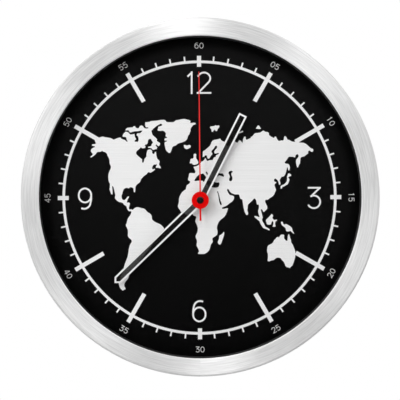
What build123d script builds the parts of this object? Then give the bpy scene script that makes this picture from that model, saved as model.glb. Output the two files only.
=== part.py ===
from build123d import *

import os
from math import acos, cos, hypot, pi, radians, sin, sqrt, tan

# Wall clock with a world map dial, an aluminium bezel and a quartz movement.
# Millimetres, +Z up. The dial faces -Y and the wall is the plane y = 0.
# The origin is where the wall screw sits in the keyhole.
# Depths are distances from the wall, levels are distances from the movement's rear face.

os.makedirs("parts", exist_ok=True)

# Whole clock
BEZEL_DIAMETER = 300.0
HANGER_RISE = 112.0
ARBOR_DROP = 2.7

# Bezel
BEZEL_FACE = 15.1
BEZEL_FLANGE = 3.0
BEZEL_WALL = 1.6
BEZEL_OUTER_EDGE = 1.8
BEZEL_INNER_EDGE = 0.8
BEZEL_WALL_GAP = 2.0

# Stack between rear cover and bezel flange
BOARD_THICKNESS = 2.5
DIAL_THICKNESS = 0.5
PRINT_THICKNESS = 0.12
SPACER_REVEAL = 0.75
SPACER_SLANT = 7.5
GLASS_GAP = 0.95
GLASS_THICKNESS = 2.0
GASKET_THICKNESS = 0.5
GASKET_SETBACK = 0.9
STACK_CLEARANCE = 0.3

# Rear cover
COVER_WALL = 2.4
COVER_GAP = 0.5
COVER_RIM_WALL = 3.0
WINDOW_GAP = 4.0
WINDOW_WALL = 1.6
WINDOW_CORNER = 4.0
KEYHOLE_ENTRY = 9.0
KEYHOLE_SLOT = 4.6
KEYHOLE_DROP = 9.0

# Case screws with their posts and bosses
SCREW_COUNT = 6
SCREW_START = 30.0
SCREW_DIAMETER = 3.0
SCREW_LENGTH = 14.0
SCREW_HEAD = 5.5
SCREW_HEAD_HEIGHT = 2.0
SCREW_RECESS = 1.0
SCREW_RECESS_WIDTH = 0.7
SCREW_RECESS_LENGTH = 3.2
SCREW_FLOOR = 4.3
SCREW_TIP_GAP = 0.3
POST_WALL = 0.9
POST_EDGE = 0.3
POST_BORE_CLEARANCE = 0.4
BOSS_WALL = 1.45
BOSS_GAP = 0.6
CLAMP_GAP = 0.2

# Fits
RUNNING_FIT = 0.05
TIGHT_FIT = 0.02
PLAY = 0.1

# Dial print
DIAL_EDGE = 4.65
TRACK_WIDTH = 2.2
TRACK_LEFT = 0.6
TRACK_DROP = 0.45
TRACK_TURN = 0.2
MAP_MARGIN = 10.08
TICK_OUTWARD = 3.8
TICK_WIDTH = 1.3
BAR_INWARD = 19.8
BAR_OUTWARD = 5.5
BAR_WIDTH = 3.5
QUARTER_INWARD = 3.1
QUARTER_OUTWARD = 3.9
NUMERAL_HEIGHT = 18.6
NUMERAL_WIDTH = 11.8
NUMERAL_STROKE = 1.45
TWELVE_GAP = 4.55
THREE_GAP = 8.45
SIX_GAP = 4.65
NINE_GAP = 7.15
ONE_SHIFT = -7.2
TWO_SHIFT = 3.2
SIX_SHIFT = -0.75
THREE_DROP = 0.8
NINE_DROP = 1.3
MINUTE_NUMERAL_HEIGHT = 4.95
MINUTE_NUMERAL_WIDTH = 3.35
MINUTE_NUMERAL_STROKE = 0.5
MINUTE_NUMERAL_PITCH = 4.1
MINUTE_NUMERAL_GAP = 10.0
BARE_RING = 0.3

# Hands
HOUR_TURN = 26.6
MINUTE_TURN = 226.0
SECOND_TURN = -0.6
HOUR_LENGTH = 80.3
MINUTE_LENGTH = 99.9
HAND_WIDTH = 7.1
HAND_BORDER = 1.4
HAND_THICKNESS = 0.7
HAND_HUB = 11.2
INLAY_THICKNESS = 0.4
INLAY_RECESS = 0.15
INLAY_START = 1.0
HOUR_HAND_GAP = 0.65
HAND_GAP = 1.3
PIPE_PROUD = 0.3
SECOND_LENGTH = 107.8
SECOND_TIP_WIDTH = 0.7
SECOND_ROOT_WIDTH = 1.2
SECOND_TAIL = 17.2
SECOND_TAIL_WIDTH = 1.55
SECOND_THICKNESS = 0.6
SECOND_BOSS = 14.4
SECOND_BOSS_THICKNESS = 1.0
SECOND_BOSS_HOLE = 6.0
PIN_DOME = 0.5
PIN_TUBE = 2.8
PIN_REACH = 0.8

# Movement housing and its fixing
MOVEMENT_WALL = 1.2
MOVEMENT_CORNER = 2.5
NECK_DIAMETER = 8.0
NECK_REACH = 0.4
RUBBER_THICKNESS = 1.0
RUBBER_DIAMETER = 20.0
WASHER_DIAMETER = 13.0
WASHER_THICKNESS = 0.5
NUT_FLATS = 11.0
NUT_THICKNESS = 2.2
HOLE_CLEARANCE = 0.2
CHAMBER_HEADROOM = 4.12
CHAMBER_FOOTROOM = 0.48
MID_PLATE_EDGE_GAP = 0.6
MID_PLATE_MARGIN = 1.8
PILLAR_DIAMETER = 3.0
PILLAR_INSET = 3.5
PILLAR_GAP = 0.8

# Coaxial shafts and arbors
SHAFT_DIAMETER = 1.5
MINUTE_PIPE_DIAMETER = 3.2
HOUR_PIPE_DIAMETER = 5.0
PIPE_FLANGE = 4.8
PIPE_SHOULDER = 4.0
HOUR_HUB = 6.4
SECOND_HUB = 3.0
ARBOR_DIAMETER = 1.6
PIVOT_DIAMETER = 1.0
PIVOT_DEPTH = 0.75
STUD_DIAMETER = 1.4
STUD_COLLAR = 3.0
STUD_REACH = 0.5
CLUTCH_DIAMETER = 6.0

# Gear teeth
PRESSURE_ANGLE = 25.0
ADDENDUM = 0.8
DEDENDUM = 1.15
TOOTH_THINNING = 0.25
FLANK_STEPS = 3
ROTOR_TEETH = 8
INTERMEDIATE_TEETH = 48
INTERMEDIATE_PINION_TEETH = 8
SECOND_TEETH = 40
SECOND_PINION_TEETH = 8
THIRD_TEETH = 60
THIRD_PINION_TEETH = 8
MINUTE_TEETH = 64
CANNON_TEETH = 12
MOTION_TEETH = 36
MOTION_PINION_TEETH = 10
HOUR_TEETH = 40
SETTING_TEETH = 12
ROTOR_MODULE = 0.3
SECOND_MODULE = 0.4
THIRD_MODULE = 0.35
MOTION_MODULE = 0.5
THIRD_BEARING = 90.0
INTERMEDIATE_BEARING = 200.0
ROTOR_BEARING = 165.0
MOTION_BEARING = 0.0
SETTING_BEARING = 60.0

# Wheel thicknesses and the gaps between their levels
COLLAR_HEIGHT = 0.7
INTERMEDIATE_FACE = 0.8
WHEEL_FACE = 1.0
WHEEL_GAP = 0.6
PINION_MARGIN = 0.5
PIPE_FLANGE_THICKNESS = 0.6
CLUTCH_THICKNESS = 0.2
MID_PLATE_THICKNESS = 0.8
MID_PLATE_GAP = 0.4
CANNON_FACE = 1.6
HOUR_FACE = 1.2
HOUR_HUB_LENGTH = 1.0

# Setting knob
KNOB_DIAMETER = 11.0
KNOB_HEIGHT = 3.4
KNOB_GAP = 0.4
KNOB_WALL_GAP = 1.4
KNOB_SHAFT = 3.0
KNOB_GRIPS = 12
KNOB_GRIP = 1.6

# Stepping motor
ROTOR_MARGIN = 0.3
ROTOR_HUB = 2.8
ROTOR_HUB_LENGTH = 0.8
MAGNET_DIAMETER = 6.0
MAGNET_MARGIN = 1.0
STATOR_THICKNESS = 1.0
STATOR_GAP = 0.4
STATOR_WALL = 1.1
STATOR_ARM = 3.0
STATOR_INSET = 2.7
STATOR_HEADROOM = 1.4
STATOR_POST = 2.4
CORE_THICKNESS = 1.0
CORE_LAP = 3.0
BOBBIN_FLANGE = 1.0
BOBBIN_RIM = 1.25
BOBBIN_WALL = 0.6
BOBBIN_GAP = 0.6
WINDING_SETBACK = 0.3
COIL_PIN = 0.5
COIL_PIN_SPREAD = 3.6
COIL_PIN_LAP = 2.0

# Circuit board
CIRCUIT_WIDTH = 5.9
CIRCUIT_THICKNESS = 1.0
CIRCUIT_GAP = 0.5
CIRCUIT_EDGE_GAP = 0.3
CIRCUIT_POST = 2.4
CIRCUIT_POST_INSET = 2.7
CHIP_DIAMETER = 3.1
CHIP_HEIGHT = 0.8
CHIP_INSET = 1.9
CHIP_RISE = 5.2
CRYSTAL_DIAMETER = 1.6
CRYSTAL_LENGTH = 6.0
CRYSTAL_INSET = 1.4
CRYSTAL_RISE = 1.2

# Battery and contacts
BATTERY_DIAMETER = 14.5
BATTERY_LENGTH = 49.2
BATTERY_NUB = 5.5
BATTERY_NUB_LENGTH = 1.3
SLEEVE_THICKNESS = 0.2
SLEEVE_END = 0.8
BATTERY_PLAY = 0.15
BAY_WALL = 0.8
CONTACT_SPACE = 1.55
CONTACT_THICKNESS = 0.3
CONTACT_WIDTH = 7.0
CONTACT_TAIL = 2.2
CONTACT_FOOT = 1.3
CONTACT_LAP = 1.9
CONTACT_DIMPLE = 5.0
CONTACT_NOTCH = 0.2
STRIP_WIDTH = 1.2
STRIP_GAP = 0.1
STRIP_INSET = 1.5

# Levels in the movement, from its rear face towards the dial
INTERMEDIATE_LEVEL = MOVEMENT_WALL + COLLAR_HEIGHT + PLAY
INTERMEDIATE_FRONT = INTERMEDIATE_LEVEL + INTERMEDIATE_FACE
SECOND_LEVEL = INTERMEDIATE_FRONT + WHEEL_GAP
SECOND_FRONT = SECOND_LEVEL + WHEEL_FACE
INTERMEDIATE_PINION_FRONT = SECOND_FRONT + PINION_MARGIN
THIRD_LEVEL = SECOND_FRONT + WHEEL_GAP
THIRD_FRONT = THIRD_LEVEL + WHEEL_FACE
SECOND_PINION_FRONT = THIRD_FRONT + PINION_MARGIN
PIPE_LEVEL = SECOND_PINION_FRONT + PLAY
MINUTE_LEVEL = PIPE_LEVEL + PIPE_FLANGE_THICKNESS + PLAY
MINUTE_FRONT = MINUTE_LEVEL + WHEEL_FACE
THIRD_PINION_FRONT = MINUTE_FRONT + PINION_MARGIN
CLUTCH_LEVEL = MINUTE_FRONT + PLAY
SHOULDER_LEVEL = CLUTCH_LEVEL + CLUTCH_THICKNESS
MID_PLATE_LEVEL = THIRD_PINION_FRONT + MID_PLATE_GAP
MID_PLATE_FRONT = MID_PLATE_LEVEL + MID_PLATE_THICKNESS
CANNON_LEVEL = MID_PLATE_FRONT + MID_PLATE_GAP
CANNON_FRONT = CANNON_LEVEL + CANNON_FACE
MOTION_LEVEL = (CANNON_LEVEL + CANNON_FRONT - WHEEL_FACE) / 2
MOTION_FRONT = MOTION_LEVEL + WHEEL_FACE
HOUR_LEVEL = CANNON_FRONT + WHEEL_GAP
HOUR_FRONT = HOUR_LEVEL + HOUR_FACE
MOTION_PINION_FRONT = HOUR_FRONT + PINION_MARGIN
LID_LEVEL = HOUR_FRONT + HOUR_HUB_LENGTH + PLAY
MOVEMENT_THICKNESS = LID_LEVEL + MOVEMENT_WALL
ROTOR_LEVEL = INTERMEDIATE_LEVEL - ROTOR_MARGIN
ROTOR_PINION_FRONT = INTERMEDIATE_FRONT + ROTOR_MARGIN
MAGNET_LEVEL = ROTOR_PINION_FRONT + ROTOR_HUB_LENGTH
STATOR_LEVEL = MAGNET_LEVEL + MAGNET_MARGIN
STATOR_FRONT = STATOR_LEVEL + STATOR_THICKNESS
CIRCUIT_LEVEL = STATOR_FRONT + CIRCUIT_GAP
CIRCUIT_FRONT = CIRCUIT_LEVEL + CIRCUIT_THICKNESS
BATTERY_LEVEL = LID_LEVEL - BATTERY_PLAY - BATTERY_DIAMETER / 2

# Depths from the wall
MOVEMENT_REAR = KNOB_WALL_GAP + KNOB_HEIGHT + KNOB_GAP
MOVEMENT_FRONT = MOVEMENT_REAR + MOVEMENT_THICKNESS
BOARD_REAR = MOVEMENT_FRONT + RUBBER_THICKNESS
BOARD_FRONT = BOARD_REAR + BOARD_THICKNESS
DIAL_FRONT = BOARD_FRONT + DIAL_THICKNESS
NUT_REAR = DIAL_FRONT + WASHER_THICKNESS
NECK_FRONT = NUT_REAR + NUT_THICKNESS + NECK_REACH
HOUR_HAND_REAR = NECK_FRONT + HOUR_HAND_GAP
HOUR_HAND_FRONT = HOUR_HAND_REAR + HAND_THICKNESS
MINUTE_HAND_REAR = HOUR_HAND_FRONT + HAND_GAP
MINUTE_HAND_FRONT = MINUTE_HAND_REAR + HAND_THICKNESS
SECOND_HAND_REAR = MINUTE_HAND_FRONT + HAND_GAP
SECOND_HAND_FRONT = SECOND_HAND_REAR + SECOND_BOSS_THICKNESS
GLASS_REAR = SECOND_HAND_FRONT + PIN_DOME + GLASS_GAP
GLASS_FRONT = GLASS_REAR + GLASS_THICKNESS
FLANGE_REAR = GLASS_FRONT + GASKET_THICKNESS
CASE_DEPTH = FLANGE_REAR + BEZEL_FLANGE
SCREW_SEAT = BOARD_REAR - SCREW_FLOOR

# Radii from the dial centre
BEZEL_RADIUS = BEZEL_DIAMETER / 2
BEZEL_BORE = BEZEL_RADIUS - BEZEL_WALL
OPENING_RADIUS = BEZEL_RADIUS - BEZEL_FACE
COVER_RADIUS = BEZEL_BORE - COVER_GAP
POST_BORE = SCREW_HEAD / 2 + POST_BORE_CLEARANCE
POST_RADIUS = POST_BORE + POST_WALL
SCREW_CIRCLE = COVER_RADIUS - POST_EDGE - POST_RADIUS
SCREW_HOLE = SCREW_DIAMETER / 2 + RUNNING_FIT
BOSS_RADIUS = SCREW_HOLE + BOSS_WALL
GLASS_SEAT = SCREW_CIRCLE - BOSS_RADIUS - BOSS_GAP
STACK_RADIUS = GLASS_SEAT - STACK_CLEARANCE
TRACK_OUTER = OPENING_RADIUS - DIAL_EDGE - MINUTE_NUMERAL_HEIGHT - MINUTE_NUMERAL_GAP
TRACK_INNER = TRACK_OUTER - TRACK_WIDTH
BAR_INNER = TRACK_INNER - BAR_INWARD
BAR_END = TRACK_OUTER + BAR_OUTWARD
QUARTER_INNER = TRACK_INNER - QUARTER_INWARD
MINUTE_NUMERAL_RADIUS = TRACK_OUTER + MINUTE_NUMERAL_GAP + MINUTE_NUMERAL_HEIGHT / 2
DIAL_HOLE = NECK_DIAMETER / 2 + HOLE_CLEARANCE

# Heights and places in the part's frame
DIAL_Z = -HANGER_RISE
ARBOR_Z = DIAL_Z - ARBOR_DROP
CENTRE_LINE = Axis((0, 0, DIAL_Z), (0, -1, 0))
ARBOR_LINE = Axis((0, 0, ARBOR_Z), (0, -1, 0))
SECTION = Plane(origin=(0, 0, DIAL_Z), x_dir=(1, 0, 0), z_dir=(0, 0, -1))
ARBOR_SECTION = Plane(origin=(0, 0, ARBOR_Z), x_dir=(1, 0, 0), z_dir=(0, 0, -1))


def facing(depth, up=0.0):
    """A plane that faces the viewer, at the dial centre or above it."""
    return Plane(origin=(0, -depth, DIAL_Z + up), x_dir=(1, 0, 0), z_dir=(0, -1, 0))


def works(level):
    """A plane that faces the viewer, at the arbor and at a level of the movement."""
    return facing(MOVEMENT_REAR + level, -ARBOR_DROP)


def along_hand(depth, turn):
    """A plane that faces the viewer at the arbor, with its y axis along a hand."""
    angle = radians(turn)
    x_dir = (cos(angle), 0, -sin(angle))
    return Plane(origin=(0, -depth, ARBOR_Z), x_dir=x_dir, z_dir=(0, -1, 0))


def polar(radius, bearing):
    """A point at a bearing in degrees, counter-clockwise from +X."""
    return (radius * cos(radians(bearing)), radius * sin(radians(bearing)))


def minute_bearing(minute):
    """Bearing of a minute on the dial, counter-clockwise from +X."""
    return 90 - 6 * minute + TRACK_TURN


def shifted(point, move):
    """A point moved by a vector."""
    return (point[0] + move[0], point[1] + move[1])


def on_track(radius, bearing):
    """A point of the minute ring, which is printed a little off the dial centre."""
    return shifted(polar(radius, bearing), (-TRACK_LEFT, -TRACK_DROP))


def tip_radius(teeth, module):
    return module * teeth / 2 + ADDENDUM * module


# Gear places, from the arbor
THIRD_CENTRES = THIRD_MODULE * (SECOND_PINION_TEETH + THIRD_TEETH) / 2
MINUTE_MODULE = 2 * THIRD_CENTRES / (THIRD_PINION_TEETH + MINUTE_TEETH)
INTERMEDIATE_CENTRES = SECOND_MODULE * (INTERMEDIATE_PINION_TEETH + SECOND_TEETH) / 2
ROTOR_CENTRES = ROTOR_MODULE * (ROTOR_TEETH + INTERMEDIATE_TEETH) / 2
MOTION_CENTRES = MOTION_MODULE * (CANNON_TEETH + MOTION_TEETH) / 2
HOUR_MODULE = 2 * MOTION_CENTRES / (MOTION_PINION_TEETH + HOUR_TEETH)
SETTING_CENTRES = MOTION_MODULE * (SETTING_TEETH + MOTION_TEETH) / 2
ARBOR_AT = (0, 0)
THIRD_AT = polar(THIRD_CENTRES, THIRD_BEARING)
INTERMEDIATE_AT = polar(INTERMEDIATE_CENTRES, INTERMEDIATE_BEARING)
ROTOR_AT = shifted(INTERMEDIATE_AT, polar(ROTOR_CENTRES, ROTOR_BEARING))
MOTION_AT = polar(MOTION_CENTRES, MOTION_BEARING)
SETTING_AT = shifted(MOTION_AT, polar(SETTING_CENTRES, SETTING_BEARING))

# Movement outline, from the arbor: gear chamber above, battery bay below
BATTERY_REACH = (BATTERY_LENGTH + BATTERY_NUB_LENGTH) / 2
INNER_SIDE = BATTERY_REACH + CONTACT_SPACE
CHAMBER_TOP = THIRD_AT[1] + tip_radius(THIRD_TEETH, THIRD_MODULE) + CHAMBER_HEADROOM
CHAMBER_BOTTOM = INTERMEDIATE_AT[1] - tip_radius(INTERMEDIATE_TEETH, ROTOR_MODULE) - CHAMBER_FOOTROOM
BAY_TOP = CHAMBER_BOTTOM - BAY_WALL
BAY_BOTTOM = BAY_TOP - BATTERY_DIAMETER - 2 * BATTERY_PLAY
BAY_MIDDLE = (BAY_TOP + BAY_BOTTOM) / 2
MOVEMENT_TOP = CHAMBER_TOP + MOVEMENT_WALL
MOVEMENT_BOTTOM = BAY_BOTTOM - MOVEMENT_WALL
MOVEMENT_WIDTH = 2 * (INNER_SIDE + MOVEMENT_WALL)
MOVEMENT_HEIGHT = MOVEMENT_TOP - MOVEMENT_BOTTOM
MOVEMENT_MIDDLE = (MOVEMENT_TOP + MOVEMENT_BOTTOM) / 2

# Motor and circuit board places, from the arbor
STATOR_HOLE = MAGNET_DIAMETER / 2 + STATOR_GAP
STATOR_LEFT = -INNER_SIDE + STATOR_INSET
STATOR_RIGHT = ROTOR_AT[0] + STATOR_HOLE + STATOR_WALL
STATOR_BOTTOM = ROTOR_AT[1] - STATOR_HOLE - STATOR_WALL
STATOR_SHOULDER = ROTOR_AT[1] + STATOR_HOLE + STATOR_WALL
STATOR_TOP = CHAMBER_TOP - STATOR_HEADROOM
CORE_MIDDLE = STATOR_LEFT + STATOR_ARM / 2
CORE_BOTTOM = STATOR_SHOULDER - CORE_LAP
CORE_LEVEL = STATOR_FRONT + CORE_THICKNESS / 2
BOBBIN_BOTTOM = STATOR_SHOULDER + BOBBIN_GAP
BOBBIN_TOP = STATOR_TOP - STATOR_ARM - BOBBIN_GAP
CIRCUIT_LEFT = -INNER_SIDE + CONTACT_THICKNESS + STRIP_GAP
CIRCUIT_RIGHT = CIRCUIT_LEFT + CIRCUIT_WIDTH
CIRCUIT_BOTTOM = CHAMBER_BOTTOM + CIRCUIT_EDGE_GAP
CIRCUIT_TOP = CORE_BOTTOM - CIRCUIT_GAP
CIRCUIT_POST_AT = ((CIRCUIT_LEFT + CIRCUIT_RIGHT) / 2, CIRCUIT_BOTTOM + CIRCUIT_POST_INSET)
STATOR_POSTS = [
    (CORE_MIDDLE, STATOR_TOP - STATOR_ARM / 2),
    (STATOR_RIGHT - STATOR_POST / 2, STATOR_TOP - STATOR_ARM / 2),
    (CORE_MIDDLE, STATOR_BOTTOM + STATOR_ARM / 2),
]
INTERMEDIATE_LEFT = INTERMEDIATE_AT[0] - tip_radius(INTERMEDIATE_TEETH, ROTOR_MODULE)
PILLARS = [
    (STATOR_RIGHT + PILLAR_GAP + PILLAR_DIAMETER / 2, CHAMBER_TOP - PILLAR_INSET),
    (INNER_SIDE - PILLAR_INSET, CHAMBER_TOP - PILLAR_INSET),
    (INNER_SIDE - PILLAR_INSET, CHAMBER_BOTTOM + PILLAR_INSET),
    (INTERMEDIATE_LEFT - PILLAR_GAP, CHAMBER_BOTTOM + PILLAR_INSET),
]


def mesh_phase(bearing, wheel_teeth, own_teeth):
    """Phase of a pinion whose wheel, with a tooth on +X, lies at a bearing from it."""
    wheel_pitch = 360 / wheel_teeth
    own_pitch = 360 / own_teeth
    offset = ((bearing + 180) / wheel_pitch) % 1
    return bearing + offset * own_pitch + own_pitch / 2


def involute(angle):
    return tan(angle) - angle


def gear_outline(teeth, module, phase, centre):
    """Corner points of an involute gear with thinned teeth."""
    pressure = radians(PRESSURE_ANGLE)
    pitch = module * teeth / 2
    base = pitch * cos(pressure)
    tip = pitch + ADDENDUM * module
    root = pitch - DEDENDUM * module
    half_tooth = (pi / 2 - TOOTH_THINNING) / teeth + involute(pressure)
    low = max(base, root)
    radii = [low + (tip - low) * step / FLANK_STEPS for step in range(FLANK_STEPS + 1)]
    flank = [(r, half_tooth - involute(acos(min(1, base / r)))) for r in radii]
    if root < base:
        flank.insert(0, (root, half_tooth))
    rising = [(r, -half) for r, half in flank]
    falling = [(r, half) for r, half in reversed(flank)]
    points = []
    for tooth in range(teeth):
        middle = radians(phase) + 2 * pi * tooth / teeth
        for r, turn in rising + falling:
            points.append(shifted(centre, (r * cos(middle + turn), r * sin(middle + turn))))
    return points


def add_gear(rear, front, teeth, module, at=ARBOR_AT, phase=0.0):
    """Adds a gear between two levels of the movement to the part being built."""
    with BuildSketch(works(rear)) as section:
        with BuildLine():
            Polyline(*gear_outline(teeth, module, phase, at), close=True)
        make_face()
    extrude(section.sketch, amount=front - rear)


def add_round(rear, front, diameter, at=ARBOR_AT, mode=Mode.ADD):
    """Adds or cuts a cylinder between two levels of the movement in the part being built."""
    with BuildSketch(works(rear)) as section:
        with Locations(at):
            Circle(diameter / 2)
    extrude(section.sketch, amount=front - rear, mode=mode)


def add_block(rear, front, left, right, bottom, top, mode=Mode.ADD):
    """Adds or cuts a block between two levels of the movement in the part being built."""
    with BuildSketch(works(rear)) as section:
        with Locations(((left + right) / 2, (bottom + top) / 2)):
            Rectangle(right - left, top - bottom)
    extrude(section.sketch, amount=front - rear, mode=mode)


def add_arbor(rear, front, at):
    """Adds an arbor with a pivot beyond each of the two levels that hold it."""
    add_round(rear + PLAY, front - PLAY, ARBOR_DIAMETER, at)
    add_round(rear - PIVOT_DEPTH, front + PIVOT_DEPTH, PIVOT_DIAMETER, at)


# Bezel: flat flange, straight wall and screw bosses behind the flange
with BuildPart() as bezel:
    with BuildSketch(SECTION) as bezel_profile:
        with BuildLine():
            Polyline(
                (OPENING_RADIUS, FLANGE_REAR),
                (OPENING_RADIUS, CASE_DEPTH),
                (BEZEL_RADIUS, CASE_DEPTH),
                (BEZEL_RADIUS, BEZEL_WALL_GAP),
                (BEZEL_BORE, BEZEL_WALL_GAP),
                (BEZEL_BORE, FLANGE_REAR),
                close=True,
            )
        make_face()
        front_corners = bezel_profile.vertices().group_by(Axis.Y)[-1].sort_by(Axis.X)
        chamfer(front_corners[0], BEZEL_INNER_EDGE)
        front_corners = bezel_profile.vertices().group_by(Axis.Y)[-1].sort_by(Axis.X)
        fillet(front_corners[-1], BEZEL_OUTER_EDGE)
    revolve(axis=CENTRE_LINE)
    with BuildSketch(facing(BOARD_REAR + CLAMP_GAP)):
        with PolarLocations(SCREW_CIRCLE, SCREW_COUNT, start_angle=SCREW_START):
            Circle(BOSS_RADIUS)
    extrude(amount=FLANGE_REAR - BOARD_REAR - CLAMP_GAP)
    with BuildSketch(facing(BOARD_REAR)):
        with PolarLocations(SCREW_CIRCLE, SCREW_COUNT, start_angle=SCREW_START):
            Circle(SCREW_HOLE)
    extrude(amount=SCREW_LENGTH - SCREW_FLOOR + SCREW_TIP_GAP, mode=Mode.SUBTRACT)
bezel.part.label = "bezel"
export_step(bezel.part, "parts/bezel.step")

# Gasket, glass, spacer ring, dial sheet and dial board
with BuildPart() as lens_gasket:
    with BuildSketch(facing(GLASS_FRONT)):
        Circle(STACK_RADIUS)
        Circle(OPENING_RADIUS + GASKET_SETBACK, mode=Mode.SUBTRACT)
    extrude(amount=GASKET_THICKNESS)
lens_gasket.part.label = "lens_gasket"
export_step(lens_gasket.part, "parts/lens_gasket.step")

with BuildPart() as lens:
    with BuildSketch(facing(GLASS_REAR)):
        Circle(STACK_RADIUS)
    extrude(amount=GLASS_THICKNESS)
lens.part.label = "lens"
export_step(lens.part, "parts/lens.step")

with BuildPart() as spacer_ring:
    with BuildSketch(facing(DIAL_FRONT)):
        Circle(STACK_RADIUS)
    extrude(amount=GLASS_REAR - DIAL_FRONT)
    with BuildSketch(facing(DIAL_FRONT)):
        Circle(OPENING_RADIUS - SPACER_REVEAL)
    extrude(amount=GLASS_REAR - DIAL_FRONT, taper=-SPACER_SLANT, mode=Mode.SUBTRACT)
spacer_ring.part.label = "spacer_ring"
export_step(spacer_ring.part, "parts/spacer_ring.step")

with BuildPart() as dial_sheet:
    with BuildSketch(facing(BOARD_FRONT)):
        Circle(STACK_RADIUS)
        with Locations((0, -ARBOR_DROP)):
            Circle(DIAL_HOLE, mode=Mode.SUBTRACT)
    extrude(amount=DIAL_THICKNESS)
dial_sheet.part.label = "dial_sheet"
export_step(dial_sheet.part, "parts/dial_sheet.step")

with BuildPart() as dial_board:
    with BuildSketch(facing(BOARD_REAR)):
        Circle(STACK_RADIUS)
        with Locations((0, -ARBOR_DROP)):
            Circle(DIAL_HOLE, mode=Mode.SUBTRACT)
    extrude(amount=BOARD_THICKNESS)
dial_board.part.label = "dial_board"
export_step(dial_board.part, "parts/dial_board.step")

# Land outlines of the world map, in millimetres from the dial centre, with their bays and seas
NORTH_AMERICA = [
    (-88.2, 50.8), (-86.3, 50.6), (-85, 50), (-83.5, 50.5), (-82, 50.9), (-80, 50.3), (-75.5, 49.6),
    (-74, 48.9), (-72.6, 48.2), (-71, 49), (-69, 49.7), (-67.5, 50), (-65.6, 50.8), (-65, 52.3),
    (-64.4, 53.5), (-63.3, 54.4), (-62.9, 56), (-62.4, 57.4), (-61.2, 58.2), (-58.5, 58.5),
    (-56.7, 58.6), (-56.2, 59.5), (-54.9, 59.6), (-54.2, 58.3), (-52.2, 57.7), (-51.3, 58.4),
    (-50.9, 59.6), (-49.5, 60.2), (-48.2, 59.6), (-47.4, 58.4), (-46.4, 57.7), (-45, 57.6),
    (-43.9, 57.8), (-43, 57.5), (-41.5, 56.5), (-40.9, 55), (-40.6, 53.5), (-40, 52), (-39, 51.2),
    (-38, 50.3), (-37, 49.5), (-36.3, 48.4), (-36.5, 47.3), (-35.5, 46.4), (-34.2, 45.8),
    (-33.7, 44.6), (-34.3, 43.2), (-35.2, 42.7), (-36, 43.4), (-36.8, 44.2), (-37.6, 43.6),
    (-36.8, 42.4), (-36.1, 41.6), (-36.8, 40.4), (-37.2, 38.1), (-37.1, 37), (-36.9, 35.2),
    (-36.5, 33.3), (-36, 32), (-34.8, 31), (-34.1, 29.8), (-34.6, 28.3), (-34.6, 26.9), (-33.6, 25.8),
    (-33, 24.2), (-33.8, 24.1), (-35.5, 24.6), (-37.3, 24.7), (-37.3, 25.4), (-36.6, 26.8),
    (-36.4, 27.8), (-37.5, 27.3), (-38.8, 27.4), (-39.8, 26.4), (-40.5, 24.9), (-40.4, 23.5),
    (-39.5, 23.3), (-38.4, 23.8), (-38, 23.1), (-39.3, 22), (-40.8, 21), (-42, 20.4), (-43.2, 21),
    (-44.2, 20.5), (-45, 19.2), (-47, 18), (-48.5, 16.5), (-49.8, 15), (-50.2, 13.5), (-51, 12.2),
    (-52.5, 11.2), (-53.8, 10), (-54.5, 8.5), (-54.6, 6.5), (-54.7, 4.8), (-55.2, 3.8), (-55.9, 4.4),
    (-56, 6), (-56.3, 7.5), (-57.5, 8.1), (-59, 8.3), (-60.3, 7.2), (-61.5, 7.8), (-63, 7.5),
    (-64.3, 6.6), (-65, 5), (-65.5, 3), (-66.2, 1), (-66, -1), (-65.2, -2.3), (-64, -2.6), (-62.8, -2),
    (-61.8, -0.5), (-61, 0.3), (-59.9, 0.6), (-60, -0.3), (-61, -1.8), (-61.5, -3.3), (-61.8, -4.7),
    (-60, -4.6), (-59.2, -5.2), (-59.3, -6.5), (-59.8, -8), (-60, -9), (-59.8, -10.3), (-59, -10.6),
    (-58, -10.2), (-57.2, -10.9), (-57.4, -11.9), (-58.2, -11.8), (-59.5, -12), (-60.5, -11.5),
    (-61.3, -10.3), (-61.8, -9), (-62, -7.9), (-63, -7.1), (-64.3, -6.3), (-64.8, -5.2), (-66, -4.6),
    (-68.2, -4.2), (-69.8, -3.2), (-71, -2), (-71.9, -0.8), (-71.5, 0.3), (-71.4, 1.8), (-71.9, 4),
    (-72.5, 6.5), (-73, 8.4), (-73.5, 9.2), (-74.1, 9), (-74, 7), (-73.8, 5), (-73.7, 3.3),
    (-73.9, 2.1), (-74.8, 2.4), (-75.3, 3.5), (-75.8, 5), (-76.3, 6.5), (-76, 8), (-75.9, 10),
    (-76, 11.3), (-76.7, 12.5), (-77.1, 14), (-77.3, 16), (-77.3, 18), (-77, 20), (-76.4, 21.5),
    (-75.7, 23), (-75.1, 24.7), (-75.2, 26), (-76.1, 28), (-76.3, 29.5), (-76.2, 31), (-76.8, 32.6),
    (-77.8, 34.5), (-78.5, 36.5), (-79.8, 37.7), (-81.5, 38.2), (-82.5, 38.9), (-83.5, 38.2),
    (-84.5, 38), (-86.5, 38), (-88, 36), (-90, 34.3), (-91.8, 33.2), (-92.6, 33.7), (-91, 35),
    (-90.3, 36), (-91, 37), (-91.8, 38.2), (-92, 39.5), (-91.3, 40.6), (-89.8, 41.5), (-88.7, 42),
    (-88.8, 42.8), (-90.3, 42.9), (-91.3, 43.7), (-90.5, 44.4), (-88.5, 44.6), (-87.6, 45.2),
    (-88.7, 47.3),
]
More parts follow.
